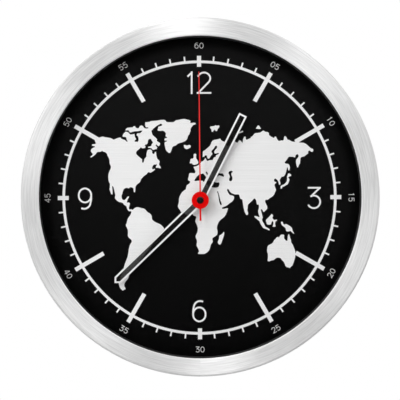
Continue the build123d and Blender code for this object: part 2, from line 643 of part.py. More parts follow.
GREENLAND = [
    (-46.3, 62.8), (-44.5, 63), (-42.5, 63.2), (-41.4, 63.9), (-38, 64.1), (-36, 64.3), (-33.5, 64.8),
    (-30.5, 64.9), (-29.4, 64.5), (-28.8, 63.7), (-28, 63), (-25, 62.9), (-22.3, 63), (-21.3, 63.8),
    (-20.4, 64.6), (-18, 64.9), (-16, 65.4), (-13.5, 65.7), (-11, 65.1), (-9.2, 64.6), (-8.1, 63.8),
    (-8.6, 62.6), (-7.5, 62.2), (-5.3, 62.6), (-3.8, 62.1), (-4.1, 61.1), (-6, 60.5), (-7.4, 58.7),
    (-8.2, 57.2), (-8.1, 55.6), (-8.7, 54.4), (-9, 53), (-10.3, 51.5), (-10.7, 49.8), (-11.2, 48.5),
    (-12.5, 47.2), (-14.5, 46.2), (-17.5, 45.4), (-19, 44.8), (-20.5, 43.4), (-22.5, 42.8),
    (-23.5, 41.8), (-24, 40), (-24.9, 37.8), (-25.6, 37), (-26.6, 37.3), (-28, 38.4), (-28.9, 39.6),
    (-29.4, 41.5), (-29.8, 43.5), (-30.1, 45.1), (-29.7, 46.3), (-28.3, 46.7), (-27.9, 47.5),
    (-29.9, 47.5), (-30.2, 48.4), (-29.6, 49.4), (-28.2, 49.6), (-27.9, 50.3), (-29, 50.9),
    (-29.2, 51.8), (-28.8, 53), (-29.3, 54.4), (-30.4, 55.4), (-31.8, 55.9), (-33.7, 55.6),
    (-35.6, 55.8), (-35.9, 56.6), (-35.4, 57.8), (-35.3, 59), (-33.6, 59.6), (-31.9, 60.2),
    (-32.3, 61.3), (-33, 61.7), (-34.8, 60.9), (-36.5, 60), (-38, 58.7), (-39.5, 57.5), (-40.5, 56.3),
    (-42, 55), (-43.9, 57.2), (-43.7, 58.4), (-44.2, 58.9), (-44.9, 58.4), (-45.8, 58.9),
    (-46.3, 60.3),
]
SOUTH_AMERICA = [
    (-58.2, -11.4), (-57.3, -10.9), (-56.3, -10.4), (-55, -9.2), (-53.5, -8.6), (-52, -8.6),
    (-50.8, -8.9), (-49.5, -9.4), (-47.5, -9.6), (-46.5, -10.3), (-45.3, -11.6), (-44.2, -12.9),
    (-42.5, -13.7), (-41.3, -14.9), (-40.8, -16.3), (-40.7, -18.3), (-40.2, -19.3), (-38.8, -20.5),
    (-37.5, -21.3), (-35.5, -22.1), (-33.5, -23), (-32, -24.3), (-31, -25.5), (-30.3, -26.3),
    (-31.5, -29), (-34.6, -33), (-38.2, -37.5), (-42, -42.3), (-45.4, -46.5), (-48.4, -50.8),
    (-52, -55.8), (-56, -60.4), (-59, -64), (-59.9, -66), (-60.3, -67.5), (-61, -69), (-62.2, -70.3),
    (-63.3, -71.8), (-63.9, -73.5), (-63.8, -75), (-63, -76.6), (-62.8, -77.5), (-63.8, -77.9),
    (-65.2, -78.7), (-66, -77.9), (-67, -77), (-67.8, -75.5), (-68.2, -74), (-68.6, -72.8),
    (-67.5, -69.5), (-66.3, -66), (-65.2, -62.5), (-64.3, -60), (-63.9, -58), (-63.3, -56),
    (-62.5, -54), (-61.7, -52), (-61, -50), (-60.6, -48), (-60.3, -46), (-60.1, -44), (-59.6, -42),
    (-59, -40), (-58.3, -39), (-57.6, -37.8), (-57.6, -36.8), (-58.3, -35.5), (-59.5, -34.6),
    (-60.5, -33.5), (-60.9, -32.3), (-60.7, -30), (-60.8, -28), (-61.5, -26), (-62.4, -24.6),
    (-62.6, -23.3), (-62, -22.3), (-61.6, -21), (-61.3, -19.5), (-60.8, -18), (-60, -16.8),
    (-58.9, -15.4), (-58.2, -14), (-58, -12.8),
]
OLD_WORLD = [
    (2.1, 34), (2.2, 37.8), (2.6, 38.7), (4, 39.4), (5.2, 40.5), (6.6, 41.6), (8.1, 43.1), (9, 44.6),
    (9.4, 46.1), (10.4, 47.4), (11.6, 48), (13.2, 48.3), (15, 48.6), (16.2, 49.1), (17, 49), (17.4, 48),
    (18.4, 47.2), (19.8, 46.6), (20.7, 46.3), (21.2, 44.5), (22, 43.2), (23.5, 42.8), (25, 43.5),
    (26.5, 45), (28.4, 46.2), (29, 47), (30.2, 46), (31.2, 45.7), (31.9, 46.2), (32.3, 47.3),
    (33.2, 47.8), (34.2, 47.2), (35, 46), (35.6, 45.5), (35.8, 46.6), (36, 48.5), (36.6, 50),
    (37.4, 50.9), (38.2, 50.6), (38.3, 49), (38.6, 48.1), (39.6, 48.3), (41, 49), (42.3, 49.6),
    (42.8, 50.6), (44, 51.2), (45.3, 53), (46.6, 53.8), (48.5, 53.9), (50.6, 54.3), (51.8, 55.1),
    (52.9, 55.9), (53.8, 55.5), (54.8, 54.8), (56.6, 54.7), (57.6, 53.9), (57.9, 52), (59, 51.2),
    (60.5, 50.3), (62, 49.6), (62.8, 50.8), (63.7, 50.8), (64.5, 49), (65.5, 47.6), (66.3, 47),
    (68, 47.6), (69.7, 47.5), (70.3, 48.5), (70.5, 50.3), (71.2, 51.4), (72.3, 50.6), (72.9, 49.2),
    (73.5, 48.2), (75, 47.9), (76.5, 47), (78, 46.5), (80, 46.5), (82, 46.2), (84, 45.8), (87, 45.6),
    (88.8, 44.7), (90, 43.8), (91.2, 42.6), (92.4, 41.6), (93.6, 40.8), (94.7, 40.5), (95.1, 39.6),
    (94.9, 38.4), (94, 37.9), (93.1, 38.3), (92.2, 39.1), (91.2, 38.9), (90.6, 38), (90.9, 36.8),
    (90, 36.2), (88.8, 35.3), (87.7, 34.3), (86, 33.9), (84.8, 33.5), (84.2, 32.3), (84, 30),
    (83.9, 28.2), (83.2, 27.3), (82.7, 26), (82.2, 25), (81.6, 24.8), (81.2, 26), (80.7, 28),
    (80.5, 30), (80.8, 31.6), (82, 32.8), (82.7, 34.2), (82.6, 35.4), (81.9, 36.1), (80.9, 35.8),
    (80.1, 34.8), (79.9, 33.7), (79.2, 33.2), (78.2, 33.9), (76.5, 33.9), (74.8, 33.9), (73.8, 33.2),
    (73, 31.7), (72, 30.4), (71, 29.3), (71.2, 28.4), (72.5, 28), (74, 27.8), (74.7, 27.2), (75.2, 26),
    (75.4, 24.5), (74.9, 22.6), (74.4, 22.2), (74, 22.8), (73.6, 24.5), (73.2, 25.4), (72.8, 24),
    (72.4, 22), (72.1, 20.8), (71.4, 19), (70.5, 17.6), (69.6, 17.1), (68.5, 17.2), (67.8, 16),
    (67.1, 15), (66.8, 14), (67.1, 13), (67.5, 12), (67.4, 10.7), (66.7, 10.2), (66.1, 10.7), (66, 12),
    (65.4, 13.5), (64.8, 14.5), (64, 14.9), (63.5, 15.6), (62.6, 15.4), (62, 14.5), (62.1, 13.3),
    (63, 12.8), (64.2, 12.3), (63.6, 11.6), (62.8, 11.1), (62.4, 10), (62.8, 8.5), (63.4, 7.3),
    (63.7, 6), (63.3, 4.8), (62.7, 3.5), (62.2, 2.2), (61.3, 1), (60, 0), (58.5, -0.8), (57.3, -1.9),
    (56.6, -2.4), (55.8, -2.1), (55, -2.3), (54.5, -3.2), (54.6, -4.3), (55.2, -5.5), (55.9, -7),
    (56.4, -8.5), (56.2, -10), (55.3, -11), (54.2, -12), (53.4, -12.7), (52.8, -12), (52.3, -10.9),
    (51.5, -10.2), (50.9, -10.8), (51.2, -12), (51.7, -13.5), (52, -15), (52.6, -17.2), (51.9, -19),
    (52.4, -20.5), (53.2, -21.7), (53.9, -23), (54.5, -24.5), (55.6, -25.4), (57, -26.2), (58.2, -26.9),
    (58.4, -28), (57.6, -28), (56.3, -27.3), (54.5, -26.7), (53, -26), (51.8, -24.4), (50.9, -23),
    (50.2, -21.5), (49.8, -20.2), (48.5, -19.3), (47, -18), (45.8, -17), (45.4, -16.2), (46.5, -15.9),
    (48, -16.3), (49.5, -17), (49.9, -16.3), (49.3, -15), (48.8, -13), (48.7, -11.3), (49.2, -10),
    (49.4, -8), (49.2, -6.3), (48, -6.5), (47.4, -5.2), (47.2, -3.5), (46.6, -2), (46.1, -1.2),
    (45, -1.4), (44, -2.7), (42.8, -3.8), (41.6, -5), (40.3, -6.2), (39.9, -7.5), (39.9, -9.2),
    (39.6, -10.7), (39.8, -12), (40.3, -13.3), (40.1, -14.6), (39.4, -15.2), (38.6, -14.9),
    (37.9, -13.5), (37.2, -11.8), (36.7, -10), (36.3, -8), (36, -6), (35.7, -4), (35.5, -2.2),
    (34.8, -1.8), (33.8, -1.4), (33.3, -0.3), (33, 1.2), (32.6, 2.1), (31.5, 2.2), (29.5, 2.2),
    (28, 2.6), (26, 3.5), (25, 4.5), (24.2, 6), (23.4, 6.9), (22.7, 6.6), (22.5, 5.6), (23.2, 4.2),
    (24.1, 2.6), (25, 1.6), (26.5, 1.3), (27.8, 1), (28.5, 0.2), (28.4, -1.2), (27.8, -2.6),
    (26.8, -3.8), (25.2, -4.8), (24, -5.8), (22.5, -7), (20.5, -8), (18.9, -8.6), (18.1, -9.2),
    (18.6, -10), (20, -9.9), (22, -9.5), (23.4, -9.5), (23, -10.8), (22.5, -12.5), (21.5, -14.8),
    (20.2, -16.7), (18.5, -18), (16.8, -19.3), (15.5, -21), (14.6, -23), (14.1, -25), (14, -26.5),
    (14.5, -28.5), (14.5, -30.5), (14, -32), (12.6, -33), (11.2, -33.8), (10.3, -34.5), (10.2, -36),
    (10.6, -37.3), (10.2, -38.5), (9.2, -39.5), (8.6, -41), (8.2, -43), (7.5, -44.7), (6.2, -46.2),
    (4.8, -47.2), (3.5, -47.8), (1.5, -47.9), (-0.5, -47.9), (-1.9, -47.7), (-1.7, -46.8),
    (-1, -45.8), (-1.3, -44.3), (-2, -43), (-2.8, -41.5), (-3.1, -39.8), (-2.6, -38), (-2.9, -36.3),
    (-3.6, -34.5), (-3.9, -33), (-3.4, -31.5), (-2.5, -30), (-2.1, -28), (-2, -26), (-2.6, -24),
    (-3.5, -22), (-4.2, -20.5), (-3.9, -19), (-3.3, -17.5), (-3.6, -16.2), (-4.6, -16), (-5.8, -15.4),
    (-6.3, -14.4), (-7.5, -14.5), (-10, -15), (-13, -14.5), (-15.5, -13.2), (-16.4, -12.2), (-17, -11),
    (-18.2, -9.3), (-18.8, -7.8), (-18.4, -6), (-17.9, -4), (-17.9, -2), (-17.5, 0), (-16.6, 2),
    (-15.3, 4), (-13.6, 5.5), (-12.2, 6.4), (-11.8, 8), (-11.4, 9.7), (-10.2, 10.6), (-9, 11.5),
    (-8.5, 12.4), (-8.6, 13.4), (-9.8, 13.8), (-10.3, 14.8), (-9.9, 16.5), (-9.5, 18.5), (-9.2, 19.8),
    (-8.4, 20.2), (-6.5, 20.1), (-4.8, 20), (-4.2, 20.5), (-4, 21.5), (-4.6, 23), (-5.3, 24.5),
    (-5.6, 25.4), (-4.5, 25.6), (-2.8, 26.1), (-1.3, 27), (0.2, 28.3), (0.8, 29.2),
]
AUSTRALIA = [
    (67.5, -32), (68.3, -31.6), (70, -31.6), (70.8, -32.3), (70.4, -33.4), (70.6, -34.8), (71.5, -36),
    (72.3, -37), (73.3, -36.6), (73.5, -35), (73.6, -33), (74, -31.6), (74.7, -31.2), (75.2, -32.5),
    (75.6, -34.3), (76.3, -36), (76.4, -37.8), (77, -39), (77.9, -40.2), (78.4, -41.8), (79.3, -43.8),
    (79.9, -45.8), (80, -48), (79.8, -50.5), (79.3, -52.5), (78.6, -54.5), (78, -56.3), (77.4, -57.7),
    (76.2, -58.6), (75.2, -59.8), (74.3, -59.2), (72.8, -59), (71.7, -58), (71.2, -56.5),
    (70.5, -54.8), (69.5, -53.8), (68.6, -52.8), (67.8, -51.6), (66.5, -51), (65, -50.9),
    (63.7, -51.3), (62.8, -52.2), (61.7, -53), (60.2, -53.2), (58.9, -53.7), (57.8, -54.2),
    (56.6, -53.5), (56.9, -51.5), (57, -49.5), (56.8, -47.5), (56.2, -45.7), (56.3, -43.5),
    (56.6, -41.7), (57.5, -40.5), (58.8, -39.8), (60.2, -39.2), (61.2, -38.3), (61.7, -37),
    (62.3, -36), (63.4, -35.3), (64.1, -34), (65.1, -33.5), (66, -34), (66.8, -33.2),
]
ICELAND = [
    (-13.9, 43.7), (-12.8, 43.8), (-11.8, 43.3), (-10.5, 43.4), (-9.3, 43.9), (-8.3, 43.4),
    (-7.9, 42.4), (-8.6, 41.4), (-10, 40.7), (-11.2, 40.2), (-12.3, 40.6), (-13.4, 41.3), (-13.6, 42.4),
]
BRITAIN = [
    (-5.6, 35.7), (-5, 36.4), (-4, 36.5), (-3.3, 35.8), (-3.6, 34), (-3.4, 32.5), (-2.4, 31),
    (-1.6, 29.5), (-1.8, 28.2), (-3, 27.6), (-4.6, 27), (-6.2, 27.3), (-6.8, 28.3), (-8.6, 28.3),
    (-8.9, 29), (-8.4, 30), (-8.3, 31.5), (-7.6, 32.2), (-6.2, 32.3), (-5.6, 33.2),
]
SPITSBERGEN = [
    (8.1, 58.3), (8.6, 59.3), (10, 59.5), (11.8, 59.7), (12.6, 60.3), (14, 60), (15.8, 60.2),
    (16.2, 59.3), (15.6, 58.2), (14.6, 57.2), (14.4, 56), (13.6, 55.3), (12.6, 56), (12.1, 56.8),
    (11.3, 55.8), (10.3, 54.7), (9.5, 55.2), (9.4, 56.6), (9, 57.4),
]
NOVAYA_ZEMLYA = [
    (29.5, 50.5), (30.8, 51.5), (31.9, 53.3), (33.6, 53.8), (35.6, 54.4), (36.2, 55.4), (35.3, 55.8),
    (34.2, 55), (32.6, 55), (31.2, 54.2), (30, 52.5), (29, 51.3),
]
NORTH_LAND = [
    (46.7, 57.6), (47.8, 59.2), (48.6, 60.2), (49.6, 59.9), (50.2, 58.8), (51, 57.6), (50.2, 57.2),
    (48.6, 57.3),
]
JAPAN = [
    (73.9, 19.7), (74.8, 19.9), (75.8, 19.3), (76.6, 18.4), (75.8, 17.6), (74.6, 17.1), (74, 16.5),
    (74.6, 15.6), (75.1, 14.4), (74.6, 13), (74, 11.6), (73.5, 10.6), (72.2, 10), (71, 9.2), (70, 8.7),
    (69.3, 8.6), (68.6, 7.2), (67.9, 6.9), (67.5, 7.8), (67.6, 9), (68.6, 9.9), (69.8, 10.4),
    (70.9, 11), (72.1, 12.3), (72.8, 13.4), (73, 14.8), (73.1, 16), (72.9, 17), (73.4, 18),
]
BORNEO = [
    (60.1, -14.2), (61, -15), (61.4, -15.9), (60.8, -16.7), (60.8, -17.8), (61.6, -18.9),
    (62.4, -19.3), (63.6, -19.1), (64.6, -19), (64.4, -19.8), (63.5, -20.5), (63, -21.5), (63, -23),
    (63.4, -24.6), (63, -25), (61, -25), (60.9, -24.6), (61.5, -23), (61.6, -21.3), (61, -20.3),
    (60.2, -20.7), (59.8, -21.8), (59.5, -23), (58.5, -23.3), (56.8, -23.2), (56, -22.7),
    (55.7, -21.3), (55.2, -20.2), (55.4, -19), (56.5, -18), (57.8, -16.8), (58.9, -15.5),
]
NEW_GUINEA = [
    (67.9, -21.1), (68.8, -20.6), (69.5, -21.3), (69.9, -22.6), (70.8, -23.2), (71.9, -22.6),
    (73, -23), (74.6, -23.9), (76, -24.9), (77, -25.8), (77.4, -27), (77.5, -28), (78.4, -29.6),
    (79.1, -30.6), (78.2, -30.7), (77, -29.6), (76, -28.6), (75, -28.7), (73.9, -29.1), (72.4, -28.7),
    (72, -27.6), (71.8, -26.2), (70.5, -25), (69.2, -24.2), (68.3, -23),
]
MADAGASCAR = [
    (19.8, -29.2), (20.2, -30.2), (20, -32), (19.3, -34.2), (18.5, -36.5), (17.8, -38.5),
    (17.2, -39.7), (16.2, -40), (15.2, -39.3), (14.7, -38), (15.2, -36.5), (15.8, -35.2),
    (15.9, -33.5), (16.3, -32.3), (17.7, -31.5), (18.8, -30.6),
]
ARCTIC_INLET = [
    (-67.5, 50.6), (-66.6, 49.2), (-65.2, 48.5), (-63.6, 48.1), (-62.4, 47.1), (-61.5, 46.2),
    (-61.1, 46.9), (-61.9, 48.4), (-62.1, 49.9), (-63, 50.6), (-64.8, 50.7), (-65.8, 51.2),
]
ARCTIC_CHANNEL = [
    (-64, 55), (-61.5, 54.8), (-60.3, 54.2), (-59.5, 53.2), (-58.6, 52.5), (-57, 52.7), (-55.5, 53.1),
    (-55.1, 52), (-55, 50.4), (-54.2, 49.4), (-53.9, 48.6), (-54.7, 47.9), (-55.4, 47.2),
    (-54.9, 46.5), (-52.5, 46.4), (-51.9, 47.5), (-51.9, 49.6), (-52.3, 51), (-53.4, 51.8),
    (-53.4, 53), (-52.6, 53.6), (-50.6, 53.7), (-49.4, 54.6), (-48.5, 56), (-50.2, 55.9), (-52, 55.5),
    (-55.2, 55.2), (-57.2, 54.8), (-58.2, 54.3), (-59.2, 54.4), (-59.9, 55.3), (-60.5, 56.3),
    (-61.8, 56), (-64, 56.2),
]
HUDSON_BAY = [
    (-48.6, 28.8), (-47.8, 28.9), (-47.2, 30.5), (-47, 32), (-46, 33), (-45.2, 34), (-45.3, 35.3),
    (-45, 37.2), (-44.6, 38.8), (-44, 39.7), (-42.2, 40.1), (-41.1, 39.6), (-40.4, 38.5),
    (-40.5, 37.3), (-39.8, 36.2), (-38.7, 36.3), (-38.2, 37.6), (-36.5, 38.5), (-36.5, 40),
    (-37.6, 40.3), (-38.8, 39.7), (-40.2, 39.9), (-40.8, 40.9), (-42.3, 41.3), (-43.9, 41.5),
    (-43.7, 42.3), (-42.5, 42.5), (-41.2, 43), (-40.9, 44.2), (-40.2, 45.2), (-39.7, 46.1),
    (-40.4, 46.9), (-41, 47.9), (-41.5, 48.8), (-42.5, 49), (-43.6, 48.3), (-44.1, 47), (-44.3, 45),
    (-45.3, 44.2), (-46.3, 44), (-46.7, 43.3), (-46, 42.4), (-46.3, 41.3), (-47.5, 41), (-48.9, 41),
    (-49.7, 41.8), (-50.5, 41.3), (-51.8, 40), (-53.2, 38.9), (-54.1, 37.3), (-53.6, 35.8),
    (-52, 34.3), (-50, 32.6), (-48.9, 31.8), (-49, 30),
]
BALTIC = [
    (1.6, 33.4), (2.6, 33.9), (3.3, 34), (3.9, 34.8), (4.8, 35.2), (5.5, 34.8), (5.8, 33.5),
    (6.3, 32.5), (7.2, 32.2), (8, 32.9), (8.5, 34), (9.4, 35.1), (10.3, 36.2), (9.8, 37.1),
    (9.4, 38.1), (9.8, 39.2), (10.6, 40), (11.6, 41), (12.1, 42), (12.7, 43), (13.7, 43.2),
    (14.3, 42.2), (13.9, 41), (12.9, 40), (12.1, 38.9), (11.7, 37.8), (12, 36.8), (13, 36.5),
    (14.2, 36.9), (15.2, 37.2), (15.8, 36.7), (15.2, 35.9), (14.2, 35.6), (13.2, 34.9), (13.1, 34),
    (12.2, 33.4), (11.5, 33.3), (11, 32.2), (10.5, 31.1), (9.3, 31), (7.5, 30.9), (6.3, 30.3),
    (5.5, 30.7), (5, 31.7), (4.7, 32.7), (4, 32.4), (3.2, 31.2), (2.4, 30.3), (1.3, 29.7), (0.5, 31),
]
WEST_MEDITERRANEAN = [
    (-5, 13.7), (-4.6, 14.7), (-3.6, 16.2), (-2.6, 17.4), (-1.6, 18.3), (-0.8, 19), (0.5, 19.4),
    (1.8, 19.7), (2.9, 19.7), (3.3, 18.8), (4.2, 17.8), (4.9, 16.9), (4.7, 15.8), (4, 14.7),
    (3.6, 13.5), (3, 12.7), (2.5, 13), (2, 13.7), (0.5, 13.8), (-2, 13.7), (-4, 13.4),
]
ADRIATIC = [(4.5, 21), (5.2, 21.5), (5.9, 20.8), (6.4, 19.8), (6.1, 18.8), (5.6, 18.7), (5.2, 19.5)]
EAST_MEDITERRANEAN = [
    (5.2, 13.5), (7, 13.8), (8.5, 13), (9.6, 12.3), (10.7, 12.2), (11, 12.9), (11.8, 13), (13, 12.3),
    (14.5, 12.2), (15.8, 12.4), (16.2, 11.5), (16.1, 10.2), (15.6, 9), (14.9, 8.2), (13.5, 7.9),
    (11.5, 7.9), (10, 8.2), (8.5, 8.6), (7, 9.5), (5.8, 10.8), (5, 12),
]
BLACK_SEA = [
    (13.7, 17.4), (14.3, 18.3), (14.9, 19.9), (15.6, 20.5), (16.4, 19.9), (17.4, 19.9), (18.5, 20),
    (19.4, 19.2), (20, 18.2), (20, 17.2), (19.3, 17.1), (18.3, 17.4), (17, 17.9), (15.8, 18.2),
    (14.8, 17.4),
]
CASPIAN_SEA = [
    (23.6, 20.2), (24.2, 21.3), (25.2, 22), (26.5, 22.1), (27.3, 21.5), (27.2, 20.8), (26.4, 20.5),
    (26.1, 19.5), (26.3, 18.2), (27, 17), (27.1, 15.5), (26.9, 14.2), (26.2, 13.4), (25.1, 13.3),
    (24.3, 13.9), (24.3, 15.2), (24.9, 16.6), (24.7, 18), (24.1, 19.2),
]
RED_SEA = [
    (14.4, 5.2), (15, 4.6), (15.6, 2.8), (16.2, 0.5), (16.5, -1.2), (17, -3), (17.8, -4.8),
    (18.1, -6.2), (17.6, -7), (16.8, -6.5), (16.2, -4.8), (15.8, -3), (15.5, -1.2), (15.3, 0.5),
    (14.9, 2.4), (14.3, 4),
]
MAINLANDS = [NORTH_AMERICA, GREENLAND, SOUTH_AMERICA, OLD_WORLD]
WATERS = [
    ARCTIC_INLET, ARCTIC_CHANNEL, HUDSON_BAY, BALTIC, WEST_MEDITERRANEAN, ADRIATIC,
    EAST_MEDITERRANEAN, BLACK_SEA, CASPIAN_SEA, RED_SEA,
]
ISLANDS = [
    AUSTRALIA, ICELAND, BRITAIN, SPITSBERGEN, NOVAYA_ZEMLYA, NORTH_LAND, JAPAN, BORNEO, NEW_GUINEA,
    MADAGASCAR,
]
BAR_BEARINGS = [minute_bearing(minute) for minute in range(0, 60, 5) if minute % 15]
MAP_REACH = max(hypot(*point) for outline in MAINLANDS + ISLANDS for point in outline)
MAP_SCALE = (TRACK_INNER - MAP_MARGIN) / MAP_REACH


def draw_land(outline, mode=Mode.ADD):
    """Adds an outline of the map to the sketch being built, at the scale that fits the minute ring."""
    with BuildLine() as coast:
        Polyline(*[(MAP_SCALE * x, MAP_SCALE * y) for x, y in outline], close=True)
    make_face(coast.edges(), mode=mode)


# World map, cut clear of the hour bars and of the washer at the arbor
with BuildPart() as world_map:
    with BuildSketch(facing(DIAL_FRONT)):
        for outline in MAINLANDS:
            draw_land(outline)
        for outline in WATERS:
            draw_land(outline, Mode.SUBTRACT)
        for outline in ISLANDS:
            draw_land(outline)
        for bearing in BAR_BEARINGS:
            with Locations(Location(on_track((BAR_INNER + BAR_END) / 2, bearing), bearing)):
                Rectangle(BAR_END - BAR_INNER, BAR_WIDTH, mode=Mode.SUBTRACT)
        with Locations((0, -ARBOR_DROP)):
            Circle(WASHER_DIAMETER / 2 + BARE_RING, mode=Mode.SUBTRACT)
    extrude(amount=PRINT_THICKNESS)
world_map.part.label = "world_map"
export_step(world_map.part, "parts/world_map.step")

# Minute ring with its ticks, the eight hour bars and the four short quarter bars
with BuildPart() as minute_track:
    with BuildSketch(facing(DIAL_FRONT)):
        with Locations((-TRACK_LEFT, -TRACK_DROP)):
            Circle(TRACK_OUTER)
            Circle(TRACK_INNER, mode=Mode.SUBTRACT)
        for minute in range(60):
            bearing = minute_bearing(minute)
            if minute % 15 == 0:
                inner, end, width = QUARTER_INNER, TRACK_OUTER + QUARTER_OUTWARD, BAR_WIDTH
            elif minute % 5 == 0:
                inner, end, width = BAR_INNER, BAR_END, BAR_WIDTH
            else:
                inner, end, width = TRACK_OUTER - TRACK_WIDTH / 2, TRACK_OUTER + TICK_OUTWARD, TICK_WIDTH
            with Locations(Location(on_track((inner + end) / 2, bearing), bearing)):
                Rectangle(end - inner, width)
    extrude(amount=PRINT_THICKNESS)
minute_track.part.label = "minute_track"
export_step(minute_track.part, "parts/minute_track.step")

# Digit strokes in half widths and half heights: two points are a line, three an arc
SIX = [
    [(1, -0.31), (0.71, 0.18), (0, 0.38)],
    [(0, 0.38), (-0.71, 0.18), (-1, -0.31)],
    [(-1, -0.31), (-0.71, -0.8), (0, -1)],
    [(0, -1), (0.71, -0.8), (1, -0.31)],
    [(-1, -0.31), (-1, 0.06), (-0.89, 0.44)],
    [(-0.89, 0.44), (-0.57, 0.83), (0.02, 1)],
    [(0.02, 1), (0.32, 0.99), (0.6, 0.94)],
]
DIGITS = {
    "0": [
        [(1, 0), (0.71, 0.71), (0, 1)],
        [(0, 1), (-0.71, 0.71), (-1, 0)],
        [(-1, 0), (-0.71, -0.71), (0, -1)],
        [(0, -1), (0.71, -0.71), (1, 0)],
    ],
    "1": [[(0, -1.11), (0, 1.11)], [(0.1, 1.04), (-0.68, 0.6)]],
    "2": [
        [(-0.97, 0.58), (0, 1), (0.97, 0.58)],
        [(0.97, 0.58), (0.98, 0.31), (0.77, 0.07)],
        [(0.77, 0.07), (-0.94, -1)],
        [(-1.18, -1), (1.18, -1)],
    ],
    "3": [
        [(-1, 1), (1.1, 1)],
        [(0.98, 1.02), (-0.55, 0.12)],
        [(-0.55, 0.15), (0.24, 0.22), (0.87, -0.07)],
        [(0.87, -0.07), (0.97, -0.55), (0.48, -0.92)],
        [(0.48, -0.92), (-0.31, -0.97), (-0.93, -0.67)],
    ],
    "4": [
        [(0.45, -1.11), (0.45, 1.11)],
        [(0.45, 1), (-1, -0.42)],
        [(-1.2, -0.42), (1.2, -0.42)],
    ],
    "5": [
        [(-0.9, 1), (0.95, 1)],
        [(-0.75, 1), (-0.88, 0)],
        [(-0.92, -0.03), (-0.14, 0.29), (0.72, 0.06)],
        [(0.72, 0.06), (0.92, -0.52), (0.29, -0.95)],
        [(0.29, -0.95), (-0.39, -0.95), (-0.92, -0.67)],
    ],
    "6": SIX,
    "9": [[(-x, -y) for x, y in stroke] for stroke in SIX],
}


def placed(point, centre, turn):
    """A point turned counter-clockwise about the origin and moved to its place on the dial."""
    angle = radians(turn)
    right = point[0] * cos(angle) - point[1] * sin(angle)
    up = point[0] * sin(angle) + point[1] * cos(angle)
    return shifted(centre, (right, up))


def draw_digit(digit, width, height, stroke, centre, turn=0.0):
    """Adds a digit, drawn with a square pen, to the sketch being built."""
    half_width = (width - stroke) / 2
    half_height = (height - stroke) / 2
    for path in DIGITS[digit]:
        points = [placed((x * half_width, y * half_height), centre, turn) for x, y in path]
        with BuildLine() as pen_line:
            if len(points) == 2:
                Line(*points)
            else:
                ThreePointArc(*points)
        trace(pen_line.line, line_width=stroke)


# Hour numerals 12, 3, 6 and 9
TWELVE_RISE = QUARTER_INNER - TWELVE_GAP - NUMERAL_HEIGHT / 2
HOUR_DIGITS = [
    ("1", (ONE_SHIFT, TWELVE_RISE)),
    ("2", (TWO_SHIFT, TWELVE_RISE)),
    ("3", (QUARTER_INNER - THREE_GAP - NUMERAL_WIDTH / 2, -THREE_DROP)),
    ("6", (SIX_SHIFT, -QUARTER_INNER + SIX_GAP + NUMERAL_HEIGHT / 2)),
    ("9", (-QUARTER_INNER + NINE_GAP + NUMERAL_WIDTH / 2, -NINE_DROP)),
]
with BuildPart() as hour_numerals:
    with BuildSketch(facing(DIAL_FRONT)):
        for digit, centre in HOUR_DIGITS:
            draw_digit(digit, NUMERAL_WIDTH, NUMERAL_HEIGHT, NUMERAL_STROKE, centre)
    extrude(amount=PRINT_THICKNESS)
hour_numerals.part.label = "hour_numerals"
export_step(hour_numerals.part, "parts/hour_numerals.step")

# Minute numerals 05 to 60, tops inwards on the lower half and outwards elsewhere
with BuildPart() as minute_numerals:
    with BuildSketch(facing(DIAL_FRONT)):
        for minute in range(5, 65, 5):
            bearing = minute_bearing(minute)
            turn = bearing + 90 if 15 < minute < 45 else bearing - 90
            middle = on_track(MINUTE_NUMERAL_RADIUS, bearing)
            for side, digit in zip((-1, 1), f"{minute:02d}"):
                centre = placed((side * MINUTE_NUMERAL_PITCH / 2, 0), middle, turn)
                sizes = (MINUTE_NUMERAL_WIDTH, MINUTE_NUMERAL_HEIGHT, MINUTE_NUMERAL_STROKE)
                draw_digit(digit, *sizes, centre, turn)
    extrude(amount=PRINT_THICKNESS)
minute_numerals.part.label = "minute_numerals"
export_step(minute_numerals.part, "parts/minute_numerals.step")

